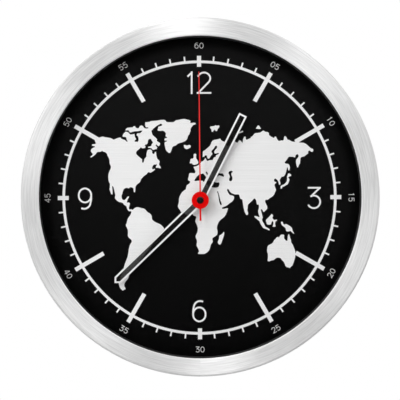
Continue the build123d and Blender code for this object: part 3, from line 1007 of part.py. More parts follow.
# Rear cover: flat plate, rim that carries the dial board, window walls, screw posts and keyhole
WINDOW_WIDTH = MOVEMENT_WIDTH + 2 * WINDOW_GAP
WINDOW_HEIGHT = MOVEMENT_HEIGHT + 2 * WINDOW_GAP
WINDOW_UP = MOVEMENT_MIDDLE - ARBOR_DROP
with BuildPart() as rear_cover:
    with BuildSketch(facing(0)):
        Circle(COVER_RADIUS)
    extrude(amount=COVER_WALL)
    with BuildSketch(facing(0)):
        Circle(GLASS_SEAT)
        Circle(GLASS_SEAT - COVER_RIM_WALL, mode=Mode.SUBTRACT)
        with Locations((0, WINDOW_UP)):
            RectangleRounded(
                WINDOW_WIDTH + 2 * WINDOW_WALL,
                WINDOW_HEIGHT + 2 * WINDOW_WALL,
                WINDOW_CORNER + WINDOW_WALL,
            )
        with PolarLocations(SCREW_CIRCLE, SCREW_COUNT, start_angle=SCREW_START):
            Circle(POST_RADIUS)
    extrude(amount=BOARD_REAR)
    with BuildSketch(facing(0)):
        with Locations((0, WINDOW_UP)):
            RectangleRounded(WINDOW_WIDTH, WINDOW_HEIGHT, WINDOW_CORNER)
        with PolarLocations(SCREW_CIRCLE, SCREW_COUNT, start_angle=SCREW_START):
            Circle(SCREW_HOLE)
    extrude(amount=BOARD_REAR, mode=Mode.SUBTRACT)
    with BuildSketch(facing(0)):
        with PolarLocations(SCREW_CIRCLE, SCREW_COUNT, start_angle=SCREW_START):
            Circle(POST_BORE)
    extrude(amount=SCREW_SEAT, mode=Mode.SUBTRACT)
    with BuildSketch(facing(0)):
        with Locations((0, HANGER_RISE - KEYHOLE_DROP)):
            Circle(KEYHOLE_ENTRY / 2)
        with Locations((0, HANGER_RISE)):
            Circle(KEYHOLE_SLOT / 2)
        with Locations((0, HANGER_RISE - KEYHOLE_DROP / 2)):
            Rectangle(KEYHOLE_SLOT, KEYHOLE_DROP)
    extrude(amount=COVER_WALL, mode=Mode.SUBTRACT)
rear_cover.part.label = "rear_cover"
export_step(rear_cover.part, "parts/rear_cover.step")

with BuildPart() as case_screws:
    with BuildSketch(facing(SCREW_SEAT - SCREW_HEAD_HEIGHT)):
        with PolarLocations(SCREW_CIRCLE, SCREW_COUNT, start_angle=SCREW_START):
            Circle(SCREW_HEAD / 2)
    extrude(amount=SCREW_HEAD_HEIGHT)
    with BuildSketch(facing(SCREW_SEAT)):
        with PolarLocations(SCREW_CIRCLE, SCREW_COUNT, start_angle=SCREW_START):
            Circle(SCREW_DIAMETER / 2)
    extrude(amount=SCREW_LENGTH)
    with BuildSketch(facing(SCREW_SEAT - SCREW_HEAD_HEIGHT)):
        with PolarLocations(SCREW_CIRCLE, SCREW_COUNT, start_angle=SCREW_START):
            Rectangle(SCREW_RECESS_LENGTH, SCREW_RECESS_WIDTH)
            Rectangle(SCREW_RECESS_WIDTH, SCREW_RECESS_LENGTH)
    extrude(amount=SCREW_RECESS, mode=Mode.SUBTRACT)
case_screws.part.label = "case_screws"
export_step(case_screws.part, "parts/case_screws.step")

# Movement front shell: walls, battery bay, pivot holes, pillars and threaded neck
POSITIVE_NOTCH = -INNER_SIDE + CONTACT_THICKNESS + CONTACT_NOTCH
NEGATIVE_NOTCH = INNER_SIDE - CONTACT_THICKNESS - CONTACT_NOTCH
PIVOT_HOLE = PIVOT_DIAMETER + 2 * RUNNING_FIT
PIVOT_HOLE_DEPTH = PIVOT_DEPTH + PLAY
with BuildPart() as movement_front:
    with BuildSketch(works(MOVEMENT_WALL)):
        with Locations((0, MOVEMENT_MIDDLE)):
            RectangleRounded(MOVEMENT_WIDTH, MOVEMENT_HEIGHT, MOVEMENT_CORNER)
    extrude(amount=MOVEMENT_THICKNESS - MOVEMENT_WALL)
    add_block(MOVEMENT_WALL, LID_LEVEL, -INNER_SIDE, INNER_SIDE, CHAMBER_BOTTOM, CHAMBER_TOP, Mode.SUBTRACT)
    add_block(MOVEMENT_WALL, LID_LEVEL, -INNER_SIDE, INNER_SIDE, BAY_BOTTOM, BAY_TOP, Mode.SUBTRACT)
    add_block(
        CIRCUIT_FRONT - CONTACT_NOTCH, CIRCUIT_FRONT + CONTACT_TAIL + CONTACT_NOTCH,
        -INNER_SIDE, POSITIVE_NOTCH, BAY_TOP, CHAMBER_BOTTOM, Mode.SUBTRACT,
    )
    add_block(
        MOVEMENT_WALL, MOVEMENT_WALL + CONTACT_TAIL + CONTACT_NOTCH,
        NEGATIVE_NOTCH, INNER_SIDE, BAY_TOP, CHAMBER_BOTTOM, Mode.SUBTRACT,
    )
    for pillar in PILLARS:
        add_round(MID_PLATE_FRONT, LID_LEVEL, PILLAR_DIAMETER, pillar)
    add_round(MOVEMENT_THICKNESS, NECK_FRONT - MOVEMENT_REAR, NECK_DIAMETER)
    neck_bore = HOUR_PIPE_DIAMETER + 2 * RUNNING_FIT
    add_round(LID_LEVEL, NECK_FRONT - MOVEMENT_REAR, neck_bore, mode=Mode.SUBTRACT)
    for pivot in (MOTION_AT, SETTING_AT):
        add_round(LID_LEVEL, LID_LEVEL + PIVOT_HOLE_DEPTH, PIVOT_HOLE, pivot, Mode.SUBTRACT)
movement_front.part.label = "movement_front"
export_step(movement_front.part, "parts/movement_front.step")

# Movement rear shell: plate with the bay left open, pillars, posts, stud and pivot holes
with BuildPart() as movement_rear:
    with BuildSketch(works(0)):
        with Locations((0, MOVEMENT_MIDDLE)):
            RectangleRounded(MOVEMENT_WIDTH, MOVEMENT_HEIGHT, MOVEMENT_CORNER)
    extrude(amount=MOVEMENT_WALL)
    add_block(0, MOVEMENT_WALL, -INNER_SIDE, INNER_SIDE, BAY_BOTTOM, BAY_TOP, Mode.SUBTRACT)
    for pillar in PILLARS:
        add_round(MOVEMENT_WALL, MID_PLATE_LEVEL, PILLAR_DIAMETER, pillar)
    for post in STATOR_POSTS:
        add_round(MOVEMENT_WALL, STATOR_LEVEL, STATOR_POST, post)
    add_round(MOVEMENT_WALL, CIRCUIT_LEVEL, CIRCUIT_POST, CIRCUIT_POST_AT)
    add_round(MOVEMENT_WALL, MOVEMENT_WALL + COLLAR_HEIGHT, STUD_COLLAR, INTERMEDIATE_AT)
    add_round(MOVEMENT_WALL, INTERMEDIATE_PINION_FRONT + STUD_REACH, STUD_DIAMETER, INTERMEDIATE_AT)
    for pivot in (THIRD_AT, ROTOR_AT):
        add_round(MOVEMENT_WALL - PIVOT_HOLE_DEPTH, MOVEMENT_WALL, PIVOT_HOLE, pivot, Mode.SUBTRACT)
    shaft_hole = SHAFT_DIAMETER + 2 * RUNNING_FIT
    add_round(MOVEMENT_WALL - PIVOT_HOLE_DEPTH, MOVEMENT_WALL, shaft_hole, mode=Mode.SUBTRACT)
    add_round(0, MOVEMENT_WALL, KNOB_SHAFT + 2 * RUNNING_FIT, SETTING_AT, Mode.SUBTRACT)
movement_rear.part.label = "movement_rear"
export_step(movement_rear.part, "parts/movement_rear.step")

# Plate between the going train and the motion work
with BuildPart() as mid_plate:
    add_block(
        MID_PLATE_LEVEL, MID_PLATE_FRONT, ROTOR_AT[0] - MID_PLATE_MARGIN, INNER_SIDE - MID_PLATE_EDGE_GAP,
        CHAMBER_BOTTOM + MID_PLATE_EDGE_GAP, CHAMBER_TOP - MID_PLATE_EDGE_GAP,
    )
    for pivot in (THIRD_AT, ROTOR_AT, MOTION_AT):
        add_round(MID_PLATE_LEVEL, MID_PLATE_FRONT, PIVOT_HOLE, pivot, Mode.SUBTRACT)
    pipe_hole = PIPE_SHOULDER + 2 * RUNNING_FIT
    add_round(MID_PLATE_LEVEL, MID_PLATE_FRONT, pipe_hole, mode=Mode.SUBTRACT)
    add_round(MID_PLATE_LEVEL, MID_PLATE_FRONT, KNOB_SHAFT + 2 * RUNNING_FIT, SETTING_AT, Mode.SUBTRACT)
mid_plate.part.label = "mid_plate"
export_step(mid_plate.part, "parts/mid_plate.step")

# Washers and nut on the neck
with BuildPart() as rubber_washer:
    with BuildSketch(facing(MOVEMENT_FRONT, -ARBOR_DROP)):
        Circle(RUBBER_DIAMETER / 2)
        Circle(DIAL_HOLE, mode=Mode.SUBTRACT)
    extrude(amount=RUBBER_THICKNESS)
rubber_washer.part.label = "rubber_washer"
export_step(rubber_washer.part, "parts/rubber_washer.step")

with BuildPart() as dial_washer:
    with BuildSketch(facing(DIAL_FRONT, -ARBOR_DROP)):
        Circle(WASHER_DIAMETER / 2)
        Circle(DIAL_HOLE, mode=Mode.SUBTRACT)
    extrude(amount=WASHER_THICKNESS)
dial_washer.part.label = "dial_washer"
export_step(dial_washer.part, "parts/dial_washer.step")

with BuildPart() as fixing_nut:
    with BuildSketch(facing(NUT_REAR, -ARBOR_DROP)):
        RegularPolygon(NUT_FLATS / 2, 6, major_radius=False)
        Circle(NECK_DIAMETER / 2 + RUNNING_FIT, mode=Mode.SUBTRACT)
    extrude(amount=NUT_THICKNESS)
fixing_nut.part.label = "fixing_nut"
export_step(fixing_nut.part, "parts/fixing_nut.step")

# Hour hand: square-ended frame with a strip let into its slot
SLOT_START = HAND_HUB / 2 + INLAY_START
SLOT_WIDTH = HAND_WIDTH - 2 * HAND_BORDER
HOUR_SLOT_END = HOUR_LENGTH - HAND_BORDER
INLAY_RISE = HAND_THICKNESS - INLAY_THICKNESS - INLAY_RECESS
with BuildPart() as hour_hand:
    with BuildSketch(along_hand(HOUR_HAND_REAR, HOUR_TURN)):
        Circle(HAND_HUB / 2)
        with Locations((0, HOUR_LENGTH / 2)):
            Rectangle(HAND_WIDTH, HOUR_LENGTH)
        with Locations((0, (SLOT_START + HOUR_SLOT_END) / 2)):
            Rectangle(SLOT_WIDTH, HOUR_SLOT_END - SLOT_START, mode=Mode.SUBTRACT)
        Circle(HOUR_PIPE_DIAMETER / 2 + TIGHT_FIT, mode=Mode.SUBTRACT)
    extrude(amount=HAND_THICKNESS)
hour_hand.part.label = "hour_hand"
export_step(hour_hand.part, "parts/hour_hand.step")

with BuildPart() as hour_hand_inlay:
    with BuildSketch(along_hand(HOUR_HAND_REAR + INLAY_RISE, HOUR_TURN)):
        with Locations((0, (SLOT_START + HOUR_SLOT_END) / 2)):
            Rectangle(SLOT_WIDTH - 2 * TIGHT_FIT, HOUR_SLOT_END - SLOT_START - 2 * TIGHT_FIT)
    extrude(amount=INLAY_THICKNESS)
hour_hand_inlay.part.label = "hour_hand_inlay"
export_step(hour_hand_inlay.part, "parts/hour_hand_inlay.step")


def pointed(start, apex, width):
    """Corner points of a strip along y that ends in a right-angled point."""
    half = width / 2
    return [(-half, start), (half, start), (half, apex - half), (0, apex), (-half, apex - half)]


# Minute hand: the same frame with a pointed end
MINUTE_SLOT_APEX = MINUTE_LENGTH - HAND_BORDER * sqrt(2)
INLAY_APEX = MINUTE_SLOT_APEX - TIGHT_FIT * sqrt(2)
with BuildPart() as minute_hand:
    with BuildSketch(along_hand(MINUTE_HAND_REAR, MINUTE_TURN)):
        Circle(HAND_HUB / 2)
        with BuildLine():
            Polyline(*pointed(0, MINUTE_LENGTH, HAND_WIDTH), close=True)
        make_face()
        with BuildLine():
            Polyline(*pointed(SLOT_START, MINUTE_SLOT_APEX, SLOT_WIDTH), close=True)
        make_face(mode=Mode.SUBTRACT)
        Circle(MINUTE_PIPE_DIAMETER / 2 + TIGHT_FIT, mode=Mode.SUBTRACT)
    extrude(amount=HAND_THICKNESS)
minute_hand.part.label = "minute_hand"
export_step(minute_hand.part, "parts/minute_hand.step")

with BuildPart() as minute_hand_inlay:
    with BuildSketch(along_hand(MINUTE_HAND_REAR + INLAY_RISE, MINUTE_TURN)):
        with BuildLine():
            Polyline(*pointed(SLOT_START + TIGHT_FIT, INLAY_APEX, SLOT_WIDTH - 2 * TIGHT_FIT), close=True)
        make_face()
    extrude(amount=INLAY_THICKNESS)
minute_hand_inlay.part.label = "minute_hand_inlay"
export_step(minute_hand_inlay.part, "parts/minute_hand_inlay.step")

# Second hand: tapered pointer, short tail and a round boss on a domed pin
with BuildPart() as second_hand:
    with BuildSketch(along_hand(SECOND_HAND_REAR, SECOND_TURN)):
        with BuildLine():
            Polyline(
                (-SECOND_TAIL_WIDTH / 2, -SECOND_TAIL),
                (SECOND_TAIL_WIDTH / 2, -SECOND_TAIL),
                (SECOND_ROOT_WIDTH / 2, SECOND_BOSS / 2),
                (SECOND_TIP_WIDTH / 2, SECOND_LENGTH),
                (-SECOND_TIP_WIDTH / 2, SECOND_LENGTH),
                (-SECOND_ROOT_WIDTH / 2, SECOND_BOSS / 2),
                close=True,
            )
        make_face()
    extrude(amount=SECOND_THICKNESS)
    with BuildSketch(along_hand(SECOND_HAND_REAR, SECOND_TURN)):
        Circle(SECOND_BOSS / 2)
    extrude(amount=SECOND_BOSS_THICKNESS)
    with BuildSketch(along_hand(SECOND_HAND_REAR, SECOND_TURN)):
        Circle(SECOND_BOSS_HOLE / 2)
    extrude(amount=SECOND_BOSS_THICKNESS, mode=Mode.SUBTRACT)
second_hand.part.label = "second_hand"
export_step(second_hand.part, "parts/second_hand.step")

PIN_RADIUS = SECOND_BOSS_HOLE / 2 - TIGHT_FIT
PIN_BORE = SHAFT_DIAMETER / 2 + TIGHT_FIT
PIN_REAR = SECOND_HAND_REAR - PIN_REACH
PIN_TOP = SECOND_HAND_FRONT + PIN_DOME
SHAFT_FRONT = SECOND_HAND_REAR + SECOND_THICKNESS
with BuildPart() as second_hand_pin:
    with BuildSketch(ARBOR_SECTION):
        with BuildLine():
            Polyline(
                (0, PIN_TOP),
                (0, SHAFT_FRONT + TIGHT_FIT),
                (PIN_BORE, SHAFT_FRONT + TIGHT_FIT),
                (PIN_BORE, PIN_REAR),
                (PIN_TUBE / 2, PIN_REAR),
                (PIN_TUBE / 2, SECOND_HAND_REAR),
                (PIN_RADIUS, SECOND_HAND_REAR),
                (PIN_RADIUS, SECOND_HAND_FRONT),
            )
            TangentArc((0, PIN_TOP), (PIN_RADIUS, SECOND_HAND_FRONT), tangent=(1, 0))
        make_face()
    revolve(axis=ARBOR_LINE)
second_hand_pin.part.label = "second_hand_pin"
export_step(second_hand_pin.part, "parts/second_hand_pin.step")

# Going train: shaft and wheels from the second hand back to the rotor
with BuildPart() as second_shaft:
    add_round(MOVEMENT_WALL - PIVOT_DEPTH, SHAFT_FRONT - MOVEMENT_REAR, SHAFT_DIAMETER)
second_shaft.part.label = "second_shaft"
export_step(second_shaft.part, "parts/second_shaft.step")

with BuildPart() as second_wheel:
    add_round(MOVEMENT_WALL + PLAY, SECOND_LEVEL, SECOND_HUB)
    add_gear(SECOND_LEVEL, SECOND_FRONT, SECOND_TEETH, SECOND_MODULE)
    phase = mesh_phase(THIRD_BEARING, THIRD_TEETH, SECOND_PINION_TEETH)
    add_gear(SECOND_FRONT, SECOND_PINION_FRONT, SECOND_PINION_TEETH, THIRD_MODULE, phase=phase)
    add_round(
        MOVEMENT_WALL, SECOND_PINION_FRONT, SHAFT_DIAMETER + 2 * TIGHT_FIT, mode=Mode.SUBTRACT
    )
second_wheel.part.label = "second_wheel"
export_step(second_wheel.part, "parts/second_wheel.step")

with BuildPart() as intermediate_wheel:
    add_gear(INTERMEDIATE_LEVEL, INTERMEDIATE_FRONT, INTERMEDIATE_TEETH, ROTOR_MODULE, INTERMEDIATE_AT)
    phase = mesh_phase(INTERMEDIATE_BEARING + 180, SECOND_TEETH, INTERMEDIATE_PINION_TEETH)
    add_gear(
        INTERMEDIATE_FRONT, INTERMEDIATE_PINION_FRONT, INTERMEDIATE_PINION_TEETH, SECOND_MODULE,
        INTERMEDIATE_AT, phase,
    )
    add_round(
        INTERMEDIATE_LEVEL, INTERMEDIATE_PINION_FRONT, STUD_DIAMETER + 2 * RUNNING_FIT,
        INTERMEDIATE_AT, Mode.SUBTRACT,
    )
intermediate_wheel.part.label = "intermediate_wheel"
export_step(intermediate_wheel.part, "parts/intermediate_wheel.step")

with BuildPart() as rotor_pinion:
    add_arbor(MOVEMENT_WALL, MID_PLATE_LEVEL, ROTOR_AT)
    phase = mesh_phase(ROTOR_BEARING + 180, INTERMEDIATE_TEETH, ROTOR_TEETH)
    add_gear(ROTOR_LEVEL, ROTOR_PINION_FRONT, ROTOR_TEETH, ROTOR_MODULE, ROTOR_AT, phase)
    add_round(ROTOR_PINION_FRONT, MAGNET_LEVEL, ROTOR_HUB, ROTOR_AT)
rotor_pinion.part.label = "rotor_pinion"
export_step(rotor_pinion.part, "parts/rotor_pinion.step")

MAGNET_FRONT = STATOR_FRONT + MAGNET_MARGIN
with BuildPart() as rotor_magnet:
    add_round(MAGNET_LEVEL, MAGNET_FRONT, MAGNET_DIAMETER, ROTOR_AT)
    add_round(MAGNET_LEVEL, MAGNET_FRONT, ARBOR_DIAMETER + 2 * TIGHT_FIT, ROTOR_AT, Mode.SUBTRACT)
rotor_magnet.part.label = "rotor_magnet"
export_step(rotor_magnet.part, "parts/rotor_magnet.step")

with BuildPart() as third_wheel:
    add_arbor(MOVEMENT_WALL, MID_PLATE_LEVEL, THIRD_AT)
    add_gear(THIRD_LEVEL, THIRD_FRONT, THIRD_TEETH, THIRD_MODULE, THIRD_AT)
    phase = mesh_phase(THIRD_BEARING + 180, MINUTE_TEETH, THIRD_PINION_TEETH)
    add_gear(THIRD_FRONT, THIRD_PINION_FRONT, THIRD_PINION_TEETH, MINUTE_MODULE, THIRD_AT, phase)
third_wheel.part.label = "third_wheel"
export_step(third_wheel.part, "parts/third_wheel.step")

with BuildPart() as minute_wheel:
    add_gear(MINUTE_LEVEL, MINUTE_FRONT, MINUTE_TEETH, MINUTE_MODULE)
    pipe_hole = MINUTE_PIPE_DIAMETER + 2 * RUNNING_FIT
    add_round(MINUTE_LEVEL, MINUTE_FRONT, pipe_hole, mode=Mode.SUBTRACT)
minute_wheel.part.label = "minute_wheel"
export_step(minute_wheel.part, "parts/minute_wheel.step")

# Motion work: minute pipe with its pinion, slipping clutch, hour wheel and setting shaft
with BuildPart() as minute_pipe:
    add_round(PIPE_LEVEL, PIPE_LEVEL + PIPE_FLANGE_THICKNESS, PIPE_FLANGE)
    add_round(PIPE_LEVEL, MINUTE_HAND_FRONT + PIPE_PROUD - MOVEMENT_REAR, MINUTE_PIPE_DIAMETER)
    add_round(SHOULDER_LEVEL, CANNON_LEVEL, PIPE_SHOULDER)
    phase = mesh_phase(MOTION_BEARING, MOTION_TEETH, CANNON_TEETH)
    add_gear(CANNON_LEVEL, CANNON_FRONT, CANNON_TEETH, MOTION_MODULE, phase=phase)
    shaft_hole = SHAFT_DIAMETER + 2 * RUNNING_FIT
    add_round(
        PIPE_LEVEL, MINUTE_HAND_FRONT + PIPE_PROUD - MOVEMENT_REAR, shaft_hole, mode=Mode.SUBTRACT
    )
minute_pipe.part.label = "minute_pipe"
export_step(minute_pipe.part, "parts/minute_pipe.step")

with BuildPart() as clutch_spring:
    add_round(CLUTCH_LEVEL, SHOULDER_LEVEL, CLUTCH_DIAMETER)
    pipe_hole = MINUTE_PIPE_DIAMETER + 2 * TIGHT_FIT
    add_round(CLUTCH_LEVEL, SHOULDER_LEVEL, pipe_hole, mode=Mode.SUBTRACT)
clutch_spring.part.label = "clutch_spring"
export_step(clutch_spring.part, "parts/clutch_spring.step")

with BuildPart() as motion_wheel:
    add_arbor(MID_PLATE_FRONT, LID_LEVEL, MOTION_AT)
    add_gear(MOTION_LEVEL, MOTION_FRONT, MOTION_TEETH, MOTION_MODULE, MOTION_AT)
    phase = mesh_phase(MOTION_BEARING + 180, HOUR_TEETH, MOTION_PINION_TEETH)
    add_gear(MOTION_FRONT, MOTION_PINION_FRONT, MOTION_PINION_TEETH, HOUR_MODULE, MOTION_AT, phase)
motion_wheel.part.label = "motion_wheel"
export_step(motion_wheel.part, "parts/motion_wheel.step")

HOUR_PIPE_FRONT = HOUR_HAND_FRONT + PIPE_PROUD - MOVEMENT_REAR
with BuildPart() as hour_wheel:
    add_round(CANNON_FRONT + PLAY, HOUR_PIPE_FRONT, HOUR_PIPE_DIAMETER)
    add_gear(HOUR_LEVEL, HOUR_FRONT, HOUR_TEETH, HOUR_MODULE)
    add_round(HOUR_FRONT, HOUR_FRONT + HOUR_HUB_LENGTH, HOUR_HUB)
    pipe_hole = MINUTE_PIPE_DIAMETER + 2 * RUNNING_FIT
    add_round(CANNON_FRONT, HOUR_PIPE_FRONT, pipe_hole, mode=Mode.SUBTRACT)
hour_wheel.part.label = "hour_wheel"
export_step(hour_wheel.part, "parts/hour_wheel.step")

with BuildPart() as setting_knob:
    add_round(-KNOB_GAP - KNOB_HEIGHT, -KNOB_GAP, KNOB_DIAMETER, SETTING_AT)
    for grip in range(KNOB_GRIPS):
        notch = shifted(SETTING_AT, polar(KNOB_DIAMETER / 2, 360 * grip / KNOB_GRIPS))
        add_round(-KNOB_GAP - KNOB_HEIGHT, -KNOB_GAP, KNOB_GRIP, notch, Mode.SUBTRACT)
    add_round(-KNOB_GAP, LID_LEVEL - PLAY, KNOB_SHAFT, SETTING_AT)
    add_round(LID_LEVEL - PLAY, LID_LEVEL + PIVOT_DEPTH, PIVOT_DIAMETER, SETTING_AT)
setting_knob.part.label = "setting_knob"
export_step(setting_knob.part, "parts/setting_knob.step")

with BuildPart() as setting_pinion:
    phase = mesh_phase(SETTING_BEARING + 180, MOTION_TEETH, SETTING_TEETH)
    add_gear(CANNON_LEVEL, CANNON_FRONT, SETTING_TEETH, MOTION_MODULE, SETTING_AT, phase)
    add_round(CANNON_LEVEL, CANNON_FRONT, KNOB_SHAFT + 2 * TIGHT_FIT, SETTING_AT, Mode.SUBTRACT)
setting_pinion.part.label = "setting_pinion"
export_step(setting_pinion.part, "parts/setting_pinion.step")

# Stepping motor: stator sheet, core, bobbin with its winding and two pins
with BuildPart() as stator:
    add_block(STATOR_LEVEL, STATOR_FRONT, STATOR_LEFT, STATOR_RIGHT, STATOR_BOTTOM, STATOR_SHOULDER)
    add_block(
        STATOR_LEVEL, STATOR_FRONT, STATOR_RIGHT - STATOR_ARM, STATOR_RIGHT, STATOR_SHOULDER, STATOR_TOP
    )
    add_block(STATOR_LEVEL, STATOR_FRONT, STATOR_LEFT, STATOR_RIGHT, STATOR_TOP - STATOR_ARM, STATOR_TOP)
    add_round(STATOR_LEVEL, STATOR_FRONT, 2 * STATOR_HOLE, ROTOR_AT, Mode.SUBTRACT)
stator.part.label = "stator"
export_step(stator.part, "parts/stator.step")

CORE_HALF = STATOR_ARM / 2
with BuildPart() as coil_core:
    add_block(
        STATOR_FRONT, STATOR_FRONT + CORE_THICKNESS,
        CORE_MIDDLE - CORE_HALF, CORE_MIDDLE + CORE_HALF, CORE_BOTTOM, STATOR_TOP,
    )
coil_core.part.label = "coil_core"
export_step(coil_core.part, "parts/coil_core.step")

# Half width and half depth of the bobbin's hole, tube and flange about the core
BOBBIN_HOLE = (CORE_HALF + RUNNING_FIT, CORE_THICKNESS / 2 + RUNNING_FIT)
BOBBIN_TUBE = (BOBBIN_HOLE[0] + BOBBIN_WALL, BOBBIN_HOLE[1] + BOBBIN_WALL)
BOBBIN_SIDE = (BOBBIN_HOLE[0] + BOBBIN_RIM, BOBBIN_HOLE[1] + BOBBIN_RIM)
WINDING_SIDE = (BOBBIN_SIDE[0] - WINDING_SETBACK, BOBBIN_SIDE[1] - WINDING_SETBACK)


def add_round_core(side, bottom, top, mode=Mode.ADD):
    """Adds or cuts a block about the coil core in the part being built."""
    add_block(
        CORE_LEVEL - side[1], CORE_LEVEL + side[1],
        CORE_MIDDLE - side[0], CORE_MIDDLE + side[0], bottom, top, mode,
    )


with BuildPart() as coil_bobbin:
    add_round_core(BOBBIN_TUBE, BOBBIN_BOTTOM, BOBBIN_TOP)
    add_round_core(BOBBIN_SIDE, BOBBIN_BOTTOM, BOBBIN_BOTTOM + BOBBIN_FLANGE)
    add_round_core(BOBBIN_SIDE, BOBBIN_TOP - BOBBIN_FLANGE, BOBBIN_TOP)
    add_round_core(BOBBIN_HOLE, BOBBIN_BOTTOM, BOBBIN_TOP, Mode.SUBTRACT)
coil_bobbin.part.label = "coil_bobbin"
export_step(coil_bobbin.part, "parts/coil_bobbin.step")

with BuildPart() as coil_winding:
    add_round_core(WINDING_SIDE, BOBBIN_BOTTOM + BOBBIN_FLANGE, BOBBIN_TOP - BOBBIN_FLANGE)
    add_round_core(BOBBIN_TUBE, BOBBIN_BOTTOM, BOBBIN_TOP, Mode.SUBTRACT)
coil_winding.part.label = "coil_winding"
export_step(coil_winding.part, "parts/coil_winding.step")

with BuildPart() as coil_pins:
    for side in (-1, 1):
        middle = CORE_MIDDLE + side * COIL_PIN_SPREAD / 2
        add_block(
            CIRCUIT_FRONT, CIRCUIT_FRONT + COIL_PIN,
            middle - COIL_PIN / 2, middle + COIL_PIN / 2, CIRCUIT_TOP - COIL_PIN_LAP, BOBBIN_BOTTOM,
        )
coil_pins.part.label = "coil_pins"
export_step(coil_pins.part, "parts/coil_pins.step")

# Circuit board with its chip and crystal
with BuildPart() as circuit_board:
    add_block(CIRCUIT_LEVEL, CIRCUIT_FRONT, CIRCUIT_LEFT, CIRCUIT_RIGHT, CIRCUIT_BOTTOM, CIRCUIT_TOP)
circuit_board.part.label = "circuit_board"
export_step(circuit_board.part, "parts/circuit_board.step")

with BuildPart() as chip:
    chip_at = (CIRCUIT_LEFT + CHIP_INSET, CIRCUIT_BOTTOM + CHIP_RISE)
    add_round(CIRCUIT_FRONT, CIRCUIT_FRONT + CHIP_HEIGHT, CHIP_DIAMETER, chip_at)
    chip_edge = chip.faces().sort_by(Axis.Y)[0].edges()
    fillet(chip_edge, CHIP_HEIGHT / 2)
chip.part.label = "chip"
export_step(chip.part, "parts/chip.step")

CRYSTAL_DEPTH = MOVEMENT_REAR + CIRCUIT_FRONT + CRYSTAL_DIAMETER / 2
CRYSTAL_FOOT = Plane(
    origin=(CIRCUIT_RIGHT - CRYSTAL_INSET, -CRYSTAL_DEPTH, ARBOR_Z + CIRCUIT_BOTTOM + CRYSTAL_RISE),
    z_dir=(0, 0, 1),
)
with BuildPart() as quartz_crystal:
    with BuildSketch(CRYSTAL_FOOT):
        Circle(CRYSTAL_DIAMETER / 2)
    extrude(amount=CRYSTAL_LENGTH)
quartz_crystal.part.label = "quartz_crystal"
export_step(quartz_crystal.part, "parts/quartz_crystal.step")


def across(right):
    """A plane that faces +X at the battery's axis."""
    return Plane(origin=(right, -MOVEMENT_REAR - BATTERY_LEVEL, ARBOR_Z + BAY_MIDDLE), z_dir=(1, 0, 0))


# Battery with its wrap, nub to the left
CAN_LEFT = -BATTERY_REACH + BATTERY_NUB_LENGTH
CAN_RADIUS = BATTERY_DIAMETER / 2 - SLEEVE_THICKNESS
with BuildPart() as battery_can:
    with BuildSketch(across(CAN_LEFT)):
        Circle(CAN_RADIUS)
    extrude(amount=BATTERY_LENGTH)
    with BuildSketch(across(-BATTERY_REACH)):
        Circle(BATTERY_NUB / 2)
    extrude(amount=BATTERY_NUB_LENGTH)
battery_can.part.label = "battery_can"
export_step(battery_can.part, "parts/battery_can.step")

with BuildPart() as battery_sleeve:
    with BuildSketch(across(CAN_LEFT + SLEEVE_END)):
        Circle(BATTERY_DIAMETER / 2)
        Circle(CAN_RADIUS, mode=Mode.SUBTRACT)
    extrude(amount=BATTERY_LENGTH - 2 * SLEEVE_END)
battery_sleeve.part.label = "battery_sleeve"
export_step(battery_sleeve.part, "parts/battery_sleeve.step")

# Contacts: plate with a dimple in the bay, tail through the bay wall to the circuit board
CONTACT_REAR = BATTERY_LEVEL - CONTACT_WIDTH / 2
CONTACT_FRONT = BATTERY_LEVEL + CONTACT_WIDTH / 2
CONTACT_TOP = BAY_MIDDLE + CONTACT_WIDTH / 2
CONTACT_BOTTOM = BAY_MIDDLE - CONTACT_WIDTH / 2
PLATE_LEFT = -INNER_SIDE + CONTACT_THICKNESS
PLATE_RIGHT = INNER_SIDE - CONTACT_THICKNESS
DIMPLE_LENGTH = CONTACT_SPACE - CONTACT_THICKNESS - RUNNING_FIT
with BuildPart() as positive_contact:
    add_block(CONTACT_REAR, CONTACT_FRONT, -INNER_SIDE, PLATE_LEFT, CONTACT_BOTTOM, CONTACT_TOP)
    with BuildSketch(across(PLATE_LEFT)):
        Circle(CONTACT_DIMPLE / 2)
    extrude(amount=DIMPLE_LENGTH)
    add_block(
        CIRCUIT_FRONT, CIRCUIT_FRONT + CONTACT_TAIL,
        -INNER_SIDE, PLATE_LEFT, CONTACT_BOTTOM, CIRCUIT_BOTTOM + CONTACT_LAP,
    )
    add_block(
        CIRCUIT_FRONT, CIRCUIT_FRONT + CONTACT_THICKNESS,
        -INNER_SIDE, -INNER_SIDE + CONTACT_FOOT, CIRCUIT_BOTTOM, CIRCUIT_BOTTOM + CONTACT_LAP,
    )
positive_contact.part.label = "positive_contact"
export_step(positive_contact.part, "parts/positive_contact.step")

STRIP_BOTTOM = CHAMBER_BOTTOM + STRIP_GAP
STRIP_TOP = STRIP_BOTTOM + STRIP_WIDTH
STRIP_END = CIRCUIT_RIGHT - STRIP_INSET
STRIP_FRONT = MOVEMENT_WALL + CONTACT_THICKNESS
with BuildPart() as negative_contact:
    add_block(MOVEMENT_WALL, CONTACT_FRONT, PLATE_RIGHT, INNER_SIDE, CONTACT_BOTTOM, CONTACT_TOP)
    with BuildSketch(across(PLATE_RIGHT - DIMPLE_LENGTH)):
        Circle(CONTACT_DIMPLE / 2)
    extrude(amount=DIMPLE_LENGTH)
    add_block(MOVEMENT_WALL, MOVEMENT_WALL + CONTACT_TAIL, PLATE_RIGHT, INNER_SIDE, CONTACT_TOP, STRIP_TOP)
    add_block(MOVEMENT_WALL, STRIP_FRONT, STRIP_END, INNER_SIDE, STRIP_BOTTOM, STRIP_TOP)
    add_block(
        MOVEMENT_WALL, CIRCUIT_LEVEL, STRIP_END, STRIP_END + CONTACT_THICKNESS, STRIP_BOTTOM, STRIP_TOP
    )
